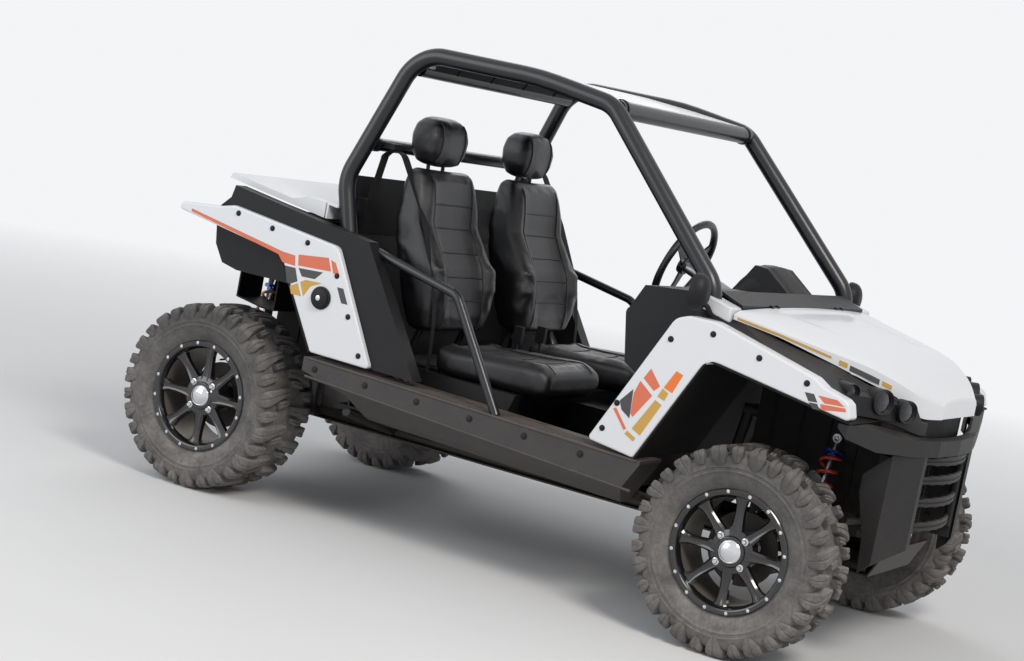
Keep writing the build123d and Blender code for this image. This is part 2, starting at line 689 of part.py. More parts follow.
HIP_RAIL = [(REAR_X + 550, -640, 972), (REAR_X + 930, -672, 893), (REAR_X + 1173, -698, 540)]
GRAB_RAIL = [(FRONT_X - 530, -440, 880), (FRONT_X - 630, -440, 950), (FRONT_X - 630, -60, 950),
             (FRONT_X - 530, -60, 880)]


def handrails(cover):
    """A hip bar at each side and the passenger's grab bar."""
    hip = largest(bent_tube(HIP_RAIL, [60], RAIL_R) - sill() - cover)
    grab = bent_tube(GRAB_RAIL, [40, 40], RAIL_R) - dash_block()
    return both_sides(hip) + [grab]


def controls(floor_solid):
    """The gear lever on the tunnel, and the pedals on their arms."""
    foot, top = Vector(FRONT_X - 560, 0, TUNNEL_Z - 10), Vector(FRONT_X - 620, 0, 765)
    knob = Vector(0, 0, 22)
    made = [largest(bar(foot, top, 8, 6) + bar(top - knob, top + knob, 22) - floor_solid)]
    for y in (250, 390):
        plate = Vector(FRONT_X - 480, y, 555)
        pedal = bar((FRONT_X - 424, y, 465), plate, 8, 6) - floor_solid
        made.append(largest(pedal) + Plane(origin=plate, z_dir=(-1, 0, 0.6)) * Box(70, 60, 8))
    return made


# Front bodywork: outlines from the front axle
FENDER_FRONT = [(-557, 553), (-336, 994), (-290, 1011), (-202, 1011), (154, 916), (190, 893), (261, 873),
                (277, 861)] + ARCH_FRONT[::-1]


def fender(outline):
    """A moulded panel with a flange turned in all round, open inside."""
    shell = side_shape(outline, -BODY_Y, -BODY_Y + FENDER_DEPTH)
    return shell - inset(outline, PANEL_T, -BODY_Y + PANEL_T, 0)


def wheel_liners():
    """Bent sheets that line each arch, on the wheel's side of the fender's flange."""
    front = side_shape(sheet(moved(ARCH_FRONT, FRONT_X), -PANEL_T, -SEAM), -BODY_Y + 1, -FRAME_Y - 60)
    rear = side_shape(sheet(moved(ARCH_REAR[1:], REAR_X), -PANEL_T, -SEAM), -BODY_Y + 1, -470)
    rear -= block(REAR_X + 200, REAR_X + 340, -TUB_HALF - SEAM, 0, TUB_Z - SEAM, 900)
    return both_sides(front) + both_sides(rear)


SIDE_BAND = [  # from the front axle: x, outer edge y and z, inner edge y and z
    (-300, -659.7, 996, -641, 1036),
    (-187, -659.7, 1000, -600, 1035),
    (-43, -659.7, 966, -568, 989),
    (150, -659.7, 912, -496, 938),
]
LAMP_POD = [  # from the front axle: x, outer y, outer top, inner y, inner top, bottom
    (150, -659, 912, -496, 938, 860),
    (225, -659, 878, -448, 908, 823),
    (262, -560, 880, -414, 895, 818),
    (318, -440, 868, -356, 872, 812),
    (344, -350, 850, -330, 850, 812),
]
LAMPS = [  # from the front axle: x, y, z, radius
    (196, -575, 888, 27),
    (282, -475, 868, 42),
    (342, -382, 845, 38),
]
LAMP_TURN = 30              # degrees outwards
LAMP_L = 34


def side_bands(cage_hole):
    """The black band between fender and hood, thickening into the lamps' housing."""
    x = FRONT_X
    strip = skinned([[(x + dx, yo, zo - PANEL_T), (x + dx, yo, zo), (x + dx, yi, zi), (x + dx, yi, zi - PANEL_T)]
                     for dx, yo, zo, yi, zi in SIDE_BAND])
    pod = skinned([[(x + dx, yo, low), (x + dx, yo, zo), (x + dx, yi, zi), (x + dx, yi, low)]
                   for dx, yo, zo, yi, zi, low in LAMP_POD])
    band = strip + pod - cage_hole
    for lamp in headlamps():
        band -= lamp
    return both_sides(largest(band))


def headlamps():
    """The lamps of the right side: glass and bucket, turned a little outwards."""
    made = []
    aim = Vector(math.cos(math.radians(LAMP_TURN)), -math.sin(math.radians(LAMP_TURN)), 0)
    for dx, y, z, radius in LAMPS:
        front = Vector(FRONT_X + dx, y, z) + aim * 8
        made.append(bar(front - aim * LAMP_L, front, radius, 12))
    return made


COWL = [(-270, 1098), (-262, 1086), (-187, 1056), (-187, 1066)]
COWL_HALF = 560
CORNER = [(-306, 1082), (-187, 1050), (-187, 1058), (-306, 1090)]


def cowl():
    """The black strip below the windscreen opening."""
    return side_shape(moved(COWL, FRONT_X), -COWL_HALF, COWL_HALF)


def cowl_corners(cage_hole):
    """A white cap around the foot of each windscreen post."""
    return both_sides(side_shape(moved(CORNER, FRONT_X), -645, -COWL_HALF - SEAM) - cage_hole)


HOOD = [  # from the front axle: x, half width, edge z, shoulder z, crown z
    (-182, 628, 1030, 1050, 1066),
    (-43, 566, 1004, 1022, 1050),
    (137, 495, 952, 988, 1020),
    (229, 434, 918, 968, 998),
    (321, 339, 881, 925, 950),
    (346, 308, 815, 905, 925),
    (398, 180, 826, 880, 895),
]
HOOD_HINGE = (FRONT_X - 184.5, 1063, (-300, 300))     # x, z and each hinge's y


def hood():
    """The white lid with its nose, a thin crowned shell, open below."""
    def section(dx, half, edge, shoulder, crown, t):
        x, half = FRONT_X + dx, half - t
        return [(x, -half, edge - t), (x, -half, shoulder - t), (x, -half * 0.8, (shoulder + crown) / 2 - t),
                (x, 0, crown - t), (x, half * 0.8, (shoulder + crown) / 2 - t), (x, half, shoulder - t),
                (x, half, edge - t)]
    outer = skinned([section(*row, 0) for row in HOOD])
    inner = skinned([section(row[0] - PANEL_T, *row[1:], PANEL_T) for row in HOOD])
    return outer - inner


# Front: plan outlines from the front axle
BAND_PLAN = [(285, -715), (378, -350), (418, -180), (430, 0), (418, 180), (378, 350), (285, 715),
             (255, 715), (345, 340), (385, 170), (395, 0), (385, -170), (345, -340), (255, -715)]
BAND_SIDE = [(255, 808.3), (292, 802), (380, 760), (430, 757), (430, 705), (385, 705), (330, 718), (255, 786)]
SHIELD_PLAN = [(400, -226), (338, -400), (262, -400)]
SHIELD_SIDE = [(250, 613), (305, 669), (345, 705), (400, 705), (400, 400), (308, 318), (300, 428)]
SLATS = [  # z, reach from the front axle
    (688, 430),
    (624, 426),
    (548, 420),
    (467, 414),
]
BRACKETS_Z = (430, 645)     # undersides of the brackets on the frame's foremost posts
SLAT_H = 31
SLAT_HALF = 213
SLAT_T = 16
SLAT_BACK = 34              # how far a slat's ends lie behind its middle


def bumper(frame_solid):
    """The band across the nose with the angled shield below it at each side."""
    x = FRONT_X
    band = plan_shape([(x + dx, y) for dx, y in BAND_PLAN], 700, 800)
    band = band & side_shape(moved(BAND_SIDE, x), -BODY_Y, BODY_Y)
    shield = plan_shape([(x + dx, y) for dx, y in sheet(SHIELD_PLAN, 10)], 318, 705)
    shield = shield & side_shape(moved(SHIELD_SIDE, x), -BODY_Y, 0)
    cheek = block(x + NOSE_POST_DX, x + 392, -226, -214, 400, 705) & side_shape(moved(SHIELD_SIDE, x), -BODY_Y, 0)
    for z in BRACKETS_Z:
        cheek += block(x + NOSE_POST_DX - 12, x + NOSE_POST_DX + 65, -226, -FRAME_Y - 8, z, z + 30) - frame_solid
    solid = band
    for piece in both_sides(shield) + both_sides(cheek):
        solid += piece
    return solid


def grille():
    """Four bowed slats between two side strips."""
    strips = [block(FRONT_X + 372, FRONT_X + 392, y, y + 12, 440, 704) for y in (-213.7, 201.7)]
    solid = strips[0] + strips[1]
    for z, reach in SLATS:
        across = [SLAT_HALF * n / 3 for n in range(-3, 4)]
        front = [(FRONT_X + reach - SLAT_BACK * (y / SLAT_HALF) ** 2, y) for y in across]
        back = [(x - SLAT_T, y) for x, y in front[::-1]]
        solid += plan_shape(front + back, z - SLAT_H / 2, z + SLAT_H / 2)
    return solid


def radiator():
    low = FRONT_X + NOSE_POST_DX + POST_R + SEAM
    return block(low, low + 34, -FRAME_Y, FRAME_Y, 400, 680)


# Rear bodywork: outlines from the rear axle
FENDER_REAR = [ARCH_REAR[0], (-221, 991), (-60, 1004), (0, 1018), (459, 961), (673, 579), ARCH_REAR[2],
               ARCH_REAR[1]]
BOX_SIDE = [(-23, 1087), (-42, 1009), (0, 1018.5), (459.2, 961.5), (673.6, 579), (839, 575), (566, 1000),
            (520, 1006)]
LID_LOW = [(-98, 1105), (325, 1041)]
LID_HINGE = (REAR_X + 328, 1093, (-350, 350))          # x, z and each hinge's y
LID_TOP = [(325, 1096), (250, 1100), (185, 1083), (-90, 1124)]
DECK = [(331, 1040), (331, 1096), (372, 1090), (372, 1084), (338, 1089), (338, 1040)]
TUB = [(-160, 985), (-140, 859), (-99, 797), (-31, TUB_Z), (330, TUB_Z), (330, 1030), (-60, 1080)]
CARGO_HALF = 640


def box_sides():
    """The black strip below the lid, running down over the rear pillar."""
    return both_sides(side_shape(moved(BOX_SIDE, REAR_X), -COVER_Y, -CARGO_HALF))


def cargo_tub():
    """The open cargo box, with a splash guard below each side."""
    outline = moved(TUB, REAR_X)
    shell = side_shape(outline, -TUB_HALF, TUB_HALF)
    inner = [(-152, 1100), (-132, 862), (-95, 803), (-29, TUB_Z + PANEL_T), (322, TUB_Z + PANEL_T), (322, 1100)]
    shell -= side_shape(moved(inner, REAR_X), -TUB_HALF + PANEL_T, TUB_HALF - PANEL_T)
    rim = block(REAR_X - 60, REAR_X + 330, -CARGO_HALF + SEAM, CARGO_HALF - SEAM, 1005, 1011)
    shell += rim - block(REAR_X - 90, REAR_X + 322, -TUB_HALF + PANEL_T, TUB_HALF - PANEL_T, 1000, 1020)
    guard = sheet(moved([(-116, TUB_Z), (-116, 671), (4, 652), (60, 652), (60, TUB_Z)], REAR_X), PANEL_T)
    for piece in both_sides(side_shape(guard, -455, -310)):
        shell += piece
    return shell


def cargo_lid():
    return side_shape(moved(LID_LOW + LID_TOP, REAR_X), -CARGO_HALF, CARGO_HALF)


def rear_deck(cage_hole, wall):
    """The fixed strip between the lid and the bulkhead."""
    deck = side_shape(moved(DECK, REAR_X), -CARGO_HALF + SEAM, CARGO_HALF - SEAM)
    return largest(deck - cage_hole - mirror(cage_hole, about=Plane.XZ) - wall)


# Drivetrain
def drivetrain():
    """The engine with its gearbox, one plain block, and the front gearcase."""
    low = SKID_Z + SKID_T
    engine = block(REAR_X + 90, REAR_X + 400, -165, 165, low, 690)
    engine += block(REAR_X - 80, REAR_X + 90, -DIFF_HALF, DIFF_HALF, low, 420)
    return [engine, block(FRONT_X - 70, FRONT_X + 70, -DIFF_HALF, DIFF_HALF, low, 400)]


def exhaust():
    """The muffler across the back and its pipe."""
    muffler = cross_bar(REAR_X - 60, -150, 150, 560, 65, 12)
    return muffler + bar((REAR_X - 60, 0, 560), (REAR_X + 90, 0, 560), 20)


def mirrors(band):
    """An oval head on an arm from the side band, at each side."""
    middle = Vector(FRONT_X - 300, -698, 1088)
    turns = [math.tau * n / 16 for n in range(16)]
    oval = Polyline(*[(46 * math.cos(t), 60 * math.sin(t)) for t in turns], close=True)
    head = Plane(origin=middle, z_dir=(1, 0, 0), x_dir=(0, 1, 0)) * extrude(make_face(oval), 26)
    arm = largest(bar((FRONT_X - 246, -638, 1008), (FRONT_X - 288, -688, 1062), 9, 6) - band)
    return both_sides(head + arm)


def seat_belts(wall):
    """The belt's reel on the bulkhead, at each side."""
    return both_sides(largest(block(REAR_X + 370, REAR_X + 430, -545, -495, 1060, 1130) - wall))


def frame_sections(solid):
    """The frame cut across where it is welded up from: the tail with the tow hitch in one piece, and
    the other sections as a right and a left half each."""
    cuts = [REAR_X - POST_DX + 40, REAR_X + 540, FRONT_X - 380, FRONT_X + NOSE_POST_DX + 100]
    tail = block(REAR_X - HITCH_BACK - 100, cuts[0], -TUB_HALF, TUB_HALF, 0, REAR_TOP_Z + 100)
    made = (solid & tail).solids()
    for low, high in zip(cuts, cuts[1:]):
        for y in (-TUB_HALF, 0):
            made += (solid & block(low, high, y, y + TUB_HALF, 0, REAR_TOP_Z + 100)).solids()
    return made


def tail_lamps(tub):
    lamp = block(REAR_X - 168, REAR_X - 130, -520, -400, 885, 945) - tub
    return both_sides(lamp.solids().sort_by(Axis.X)[0])


def main():
    os.makedirs("parts", exist_ok=True)
    frame_solid = frame()
    cage_hole = cage_side(TUBE_R + SEAM)
    covers = box_sides()
    arms, shocks = suspension(frame_solid)
    made = wheel_pieces()
    made["knuckle_right"] = knuckle()
    made["knuckle_left"] = mirror(made["knuckle_right"], about=Plane.XZ)
    made["uprights_rear"] = both_sides(upright(REAR_X, REAR_PIN_Y, REAR_TYRE_W, 8))
    made["control_arms"] = arms
    made["coilovers"] = shocks
    made["half_shafts"] = half_shafts()
    made["tie_rods"] = tie_rods()
    made["frame"] = frame_sections(frame_solid)
    made["skid_plate"] = skid_plate()
    made.update(cage())
    made["roof"] = roof(made["cage_crossbars"], cage_hole)
    made["sills"] = both_sides(sill())
    made["floor_pan"] = floor_pan()
    made["seat_base"] = seat_base()
    made["bulkhead"] = bulkhead(cage_hole)
    made.update(seats())
    made["steering_wheel"] = steering_wheel()
    made["steering_column"] = [column(rod), rack_housing()]
    made["dash"] = dash(made["floor_pan"])
    made["handrails"] = handrails(covers[0])
    made["controls"] = controls(made["floor_pan"])
    made["fenders_front"] = both_sides(fender(moved(FENDER_FRONT, FRONT_X)))
    made["fenders_rear"] = both_sides(fender(moved(FENDER_REAR, REAR_X)))
    made["wheel_liners"] = wheel_liners()
    made["side_bands"] = side_bands(cage_hole)
    lamps = headlamps()
    made["headlamps"] = lamps + [mirror(lamp, about=Plane.XZ) for lamp in lamps]
    made["cowl_corners"] = cowl_corners(cage_hole)
    made["cowl"], made["hood"] = hinges(cowl(), hood(), *HOOD_HINGE)
    made["bumper"] = bumper(frame_solid)
    made["grille"] = grille()
    made["radiator"] = radiator()
    made["box_sides"] = covers
    made["cargo_tub"] = cargo_tub()
    deck = rear_deck(cage_hole, made["bulkhead"])
    made["rear_deck"], made["cargo_lid"] = hinges(deck, cargo_lid(), *LID_HINGE)
    made["drivetrain"] = drivetrain()
    made["exhaust"] = exhaust()
    made["mirrors"] = mirrors(made["side_bands"][0])
    made["seat_belts"] = seat_belts(made["bulkhead"])
    made["tail_lamps"] = tail_lamps(made["cargo_tub"])
    for name, shape in made.items():
        pieces = shape if isinstance(shape, list) else [shape]
        export_step(Compound(children=[s for piece in pieces for s in piece.solids()]), f"parts/{name}.step")


main()
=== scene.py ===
import math

import bpy
from mathutils import Matrix, Vector
from mathutils.bvhtree import BVHTree


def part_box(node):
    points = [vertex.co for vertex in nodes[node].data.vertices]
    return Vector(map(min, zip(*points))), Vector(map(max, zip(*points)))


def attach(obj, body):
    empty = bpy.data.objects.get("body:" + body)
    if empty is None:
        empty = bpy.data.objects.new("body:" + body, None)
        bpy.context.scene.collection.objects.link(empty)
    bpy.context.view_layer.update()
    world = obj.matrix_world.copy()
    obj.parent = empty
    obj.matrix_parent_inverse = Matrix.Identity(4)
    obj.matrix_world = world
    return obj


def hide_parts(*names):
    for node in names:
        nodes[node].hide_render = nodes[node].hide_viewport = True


# The looks of the dune buggy, in metres, in the frame of the CAD model:
# +X is forward, +Y is the driver's left, +Z is up.

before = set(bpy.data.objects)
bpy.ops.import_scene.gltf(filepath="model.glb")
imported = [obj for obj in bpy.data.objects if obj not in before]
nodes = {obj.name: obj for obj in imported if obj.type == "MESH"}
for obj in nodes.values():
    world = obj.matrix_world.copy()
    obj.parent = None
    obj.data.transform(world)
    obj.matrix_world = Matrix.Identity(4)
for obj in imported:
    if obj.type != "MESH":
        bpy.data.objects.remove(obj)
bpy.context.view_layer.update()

FRONT_X = 0.990
REAR_X = -1.090
BODY_Y = 0.720              # outer faces of the fenders and sills


# Camera: the photograph's view of the vehicle, with the slope it stands on as roll
CAMERA_TARGET = Vector((-0.2947, 0.0, 0.7441))
CAMERA_AZIMUTH = math.radians(28.3742)
CAMERA_ELEVATION = math.radians(5.9505)
CAMERA_ROLL = math.radians(11.0246)
CAMERA_DISTANCE = 7.6261
CAMERA_LENS = 73.44


def add_camera():
    az, el = CAMERA_AZIMUTH, CAMERA_ELEVATION
    back = Vector((math.sin(az) * math.cos(el), -math.cos(az) * math.cos(el), math.sin(el)))
    right = Vector((math.cos(az), math.sin(az), 0))
    up = back.cross(right)
    x_axis = right * math.cos(CAMERA_ROLL) + up * math.sin(CAMERA_ROLL)
    y_axis = up * math.cos(CAMERA_ROLL) - right * math.sin(CAMERA_ROLL)
    camera = bpy.data.objects.new("camera", bpy.data.cameras.new("camera"))
    camera.data.lens = CAMERA_LENS
    camera.data.clip_end = 60
    turn = Matrix((x_axis, y_axis, back)).transposed().to_4x4()
    camera.matrix_world = Matrix.Translation(CAMERA_TARGET + back * CAMERA_DISTANCE) @ turn
    bpy.context.collection.objects.link(camera)
    bpy.context.scene.camera = camera


# Materials
class Nodes:
    """A material's node tree with short ways to add and join nodes."""

    def __init__(self, name):
        self.material = bpy.data.materials.new(name)
        self.material.use_nodes = True
        self.tree = self.material.node_tree
        self.shader = self.tree.nodes["Principled BSDF"]
        self.place = self.tree.nodes.new("ShaderNodeTexCoord").outputs["Object"]

    def add(self, kind, **values):
        node = self.tree.nodes.new(kind)
        for key, value in values.items():
            if hasattr(node, key):
                setattr(node, key, value)
            else:
                node.inputs[key.replace("_", " ")].default_value = value
        return node

    def join(self, value, target):
        """Puts another node's output, a number or a colour into a socket."""
        if isinstance(value, tuple):
            target.default_value = (*value, 1)
        elif isinstance(value, (int, float)):
            target.default_value = value
        else:
            self.tree.links.new(value, target)

    def put(self, name, value):
        """Puts a value into the shader's socket of that name."""
        self.join(value, self.shader.inputs[name])

    def noise(self, scale, detail=4, roughness=0.55):
        node = self.add("ShaderNodeTexNoise", Scale=scale, Detail=detail, Roughness=roughness)
        self.join(self.place, node.inputs["Vector"])
        return node.outputs["Fac"]

    def cells(self, scale):
        node = self.add("ShaderNodeTexVoronoi", Scale=scale)
        self.join(self.place, node.inputs["Vector"])
        return node.outputs["Distance"]

    def ramp(self, value, low, high, start=0.0, end=1.0):
        """The value spread from low..high to start..end, and held outside."""
        node = self.add("ShaderNodeMapRange")
        self.join(value, node.inputs["Value"])
        for name, number in (("From Min", low), ("From Max", high), ("To Min", start), ("To Max", end)):
            node.inputs[name].default_value = number
        return node.outputs["Result"]

    def maths(self, operation, first, second=0.0):
        node = self.add("ShaderNodeMath", operation=operation)
        self.join(first, node.inputs[0])
        self.join(second, node.inputs[1])
        return node.outputs["Value"]

    def mix(self, amount, first, second):
        node = self.add("ShaderNodeMix", data_type="RGBA")
        for name, value in (("Factor", amount), ("A", first), ("B", second)):
            self.join(value, node.inputs[name])
        return node.outputs["Result"]


DUST = (0.27, 0.205, 0.15)
TYRE_DUST = (0.27, 0.25, 0.235)


def finish(name, color, roughness, metallic=0.0, coat=0.0, grain=200, depth=0.0, dust=0.0, low_dust=0.0,
           tint=0.08, edge=0.0, leather=False, shine=0.5, dust_color=DUST):
    """A worn finish: the colour with soft variation, fine grain, and dust on what faces up or hangs low."""
    n = Nodes(name)
    dark = tuple(c * (1 - tint) for c in color)
    base = n.mix(n.ramp(n.noise(2.5), 0.3, 0.7), dark, color)
    facing = n.add("ShaderNodeSeparateXYZ")
    n.join(n.add("ShaderNodeNewGeometry").outputs["Normal"], facing.inputs["Vector"])
    place = n.add("ShaderNodeSeparateXYZ")
    n.join(n.place, place.inputs["Vector"])
    facing_up = n.ramp(facing.outputs["Z"], 0.2, 0.95, 0.0, dust)
    hanging_low = n.ramp(place.outputs["Z"], 0.85, 0.30, 0.0, low_dust)
    patches = n.ramp(n.noise(14, detail=9, roughness=0.72), 0.30, 0.72, 0.25, 1.0)
    fine = n.ramp(n.noise(90, detail=6, roughness=0.7), 0.3, 0.75, 0.5, 1.0)
    mask = n.maths("MULTIPLY", n.maths("MULTIPLY", patches, fine), n.maths("ADD", facing_up, hanging_low))
    n.put("Base Color", n.mix(mask, base, dust_color))
    worn = n.ramp(n.noise(35), 0.3, 0.7, roughness - 0.02, roughness + 0.02)
    n.put("Roughness", n.maths("ADD", worn, n.maths("MULTIPLY", mask, 0.45)))
    n.put("Metallic", metallic)
    n.put("Specular IOR Level", shine)
    n.put("Coat Weight", coat)
    n.put("Coat Roughness", 0.08)
    bump = n.add("ShaderNodeBump", Strength=depth, Distance=0.002)
    n.join(n.cells(grain) if leather else n.noise(grain, detail=3), bump.inputs["Height"])
    if edge:
        rounding = n.add("ShaderNodeBevel", Radius=edge)
        rounding.samples = 4
        n.join(rounding.outputs["Normal"], bump.inputs["Normal"])
    n.put("Normal", bump.outputs["Normal"])
    return n.material


WHITE = finish("white_plastic", (0.76, 0.765, 0.78), 0.30, coat=0.25, grain=160, depth=0.006, low_dust=0.12,
               tint=0.015, shine=0.4)
BLACK = finish("black_plastic", (0.010, 0.010, 0.012), 0.46, grain=520, depth=0.3, dust=0.05, low_dust=0.06,
               shine=0.26)
LINER_BLACK = finish("liner_plastic", (0.006, 0.006, 0.006), 0.6, grain=300, depth=0.3, low_dust=0.12,
                     shine=0.2)
SILL_BLACK = finish("sill_plastic", (0.034, 0.033, 0.035), 0.46, grain=420, depth=0.35, dust=0.50,
                    low_dust=0.22, shine=0.4)
SHIELD_BLACK = finish("shield_plastic", (0.014, 0.014, 0.015), 0.5, grain=260, depth=0.55, dust=0.10,
                      low_dust=0.10, shine=0.28)
CAGE = finish("cage_coat", (0.006, 0.007, 0.010), 0.32, coat=0.12, grain=160, depth=0.01, dust=0.03, tint=0.2)
CHASSIS = finish("chassis_coat", (0.010, 0.010, 0.011), 0.42, grain=200, depth=0.15, dust=0.16, low_dust=0.14,
                 edge=0.008, shine=0.35)
VINYL = finish("seat_vinyl", (0.008, 0.008, 0.010), 0.30, coat=0.12, grain=900, depth=0.3, dust=0.03,
               low_dust=0.03, leather=True)
WELT = finish("seat_welt", (0.022, 0.022, 0.025), 0.4, grain=900, depth=0.3, leather=True)
WEBBING = finish("belt_webbing", (0.012, 0.012, 0.014), 0.75, grain=1400, depth=0.6, shine=0.3)
STEEL = finish("bare_steel", (0.40, 0.40, 0.42), 0.36, metallic=1.0, grain=150, depth=0.1, low_dust=0.3)
DARK_STEEL = finish("dark_steel", (0.05, 0.048, 0.047), 0.5, metallic=0.8, grain=120, depth=0.25,
                    low_dust=0.18)
CHROME = finish("bright_bolts", (0.72, 0.73, 0.75), 0.14, metallic=1.0, grain=150, depth=0.03, low_dust=0.05)
CAST = finish("cast_metal", (0.17, 0.17, 0.175), 0.5, metallic=0.8, grain=180, depth=0.4, low_dust=0.30)
RUBBER = finish("tyre_rubber", (0.060, 0.058, 0.058), 0.82, grain=260, depth=0.4, dust=0.75, low_dust=1.15,
                tint=0.3, shine=0.25, dust_color=TYRE_DUST)
BOOT = finish("boot_rubber", (0.012, 0.012, 0.013), 0.6, grain=300, depth=0.2, low_dust=0.12, shine=0.3)
WHEEL_BLACK = finish("wheel_gloss", (0.006, 0.006, 0.008), 0.13, coat=0.7, grain=200, depth=0.03,
                     low_dust=0.04)
BARREL = finish("barrel_metal", (0.20, 0.185, 0.165), 0.42, metallic=0.55, grain=120, depth=0.15,
                low_dust=0.35)
SPRING_RED = finish("spring_red", (0.50, 0.035, 0.015), 0.3, coat=0.4, low_dust=0.12)
SPRING_COPPER = finish("spring_copper", (0.50, 0.17, 0.06), 0.32, coat=0.3, low_dust=0.12)
COLLAR_BLUE = finish("collar_blue", (0.03, 0.09, 0.38), 0.28, metallic=0.6, coat=0.3)
REFLECTOR = finish("lamp_reflector", (0.045, 0.045, 0.05), 0.3, metallic=0.7, tint=0.25, shine=0.3)
TAIL = finish("tail_lens", (0.42, 0.01, 0.01), 0.12, coat=1.0)
SALMON = finish("decal_salmon", (0.72, 0.16, 0.075), 0.25, coat=0.4, tint=0.06)
ORANGE = finish("decal_orange", (0.85, 0.19, 0.02), 0.25, coat=0.4, tint=0.06)
MUSTARD = finish("decal_mustard", (0.60, 0.34, 0.06), 0.25, coat=0.4, tint=0.06)
GREY = finish("decal_grey", (0.050, 0.048, 0.050), 0.3, coat=0.3, tint=0.1)
DIAL = finish("dial_face", (0.02, 0.022, 0.026), 0.1, coat=1.0, tint=0.3)


def clear_lens():
    n = Nodes("lamp_glass")
    n.put("Base Color", n.mix(n.noise(25), (0.22, 0.225, 0.24), (0.32, 0.325, 0.34)))
    n.put("Transmission Weight", 1.0)
    n.put("IOR", 1.3)
    n.put("Roughness", n.ramp(n.noise(40), 0.3, 0.7, 0.02, 0.09))
    return n.material


GLASS = clear_lens()

NODE_FINISH = {  # each CAD node that stays in view, with the width of its rounded edges
    CAST: {"knuckle_right": 0.003, "knuckle_left": 0.003, "uprights_rear": 0.003, "drivetrain": 0.012},
    STEEL: {"tie_rods": 0.0, "steering_column": 0.0},
    DARK_STEEL: {"exhaust": 0.006, "skid_plate": 0.002},
    CHASSIS: {"control_arms": 0.0, "frame": 0.0},
    WHITE: {"roof": 0.003, "cargo_lid": 0.007, "rear_deck": 0.002},
    BLACK: {"floor_pan": 0.002, "seat_base": 0.002, "bulkhead": 0.003, "dash": 0.003, "side_bands": 0.003,
            "cowl": 0.003, "box_sides": 0.007, "cargo_tub": 0.002, "seat_belts": 0.004, "controls": 0.002,
            "radiator": 0.002},
    LINER_BLACK: {"wheel_liners": 0.002},
    SHIELD_BLACK: {"bumper": 0.003},
    SILL_BLACK: {"sills": 0.007},
    TAIL: {"tail_lamps": 0.008},
}


def dress(obj, material, edge=0.0):
    obj.data.materials.clear()
    obj.data.materials.append(material)
    if edge:
        round_edges(obj, edge)


def round_edges(obj, width):
    edges = obj.modifiers.new("edges", "BEVEL")
    edges.width = width
    edges.segments = 3
    edges.limit_method = "ANGLE"


# Shapes
OTHER_SIDE = Matrix.Diagonal((1, -1, 1, 1))


def turns(count, start=0.0):
    """Angles at even steps once round."""
    return [math.tau * (n + start) / count for n in range(count)]


def at_turn(radius, y, turn):
    """The point at a turn about the Y axis."""
    return radius * math.sin(turn), y, radius * math.cos(turn)


def rectangle(low_x, low_z, high_x, high_z):
    return [(low_x, low_z), (high_x, low_z), (high_x, high_z), (low_x, high_z)]


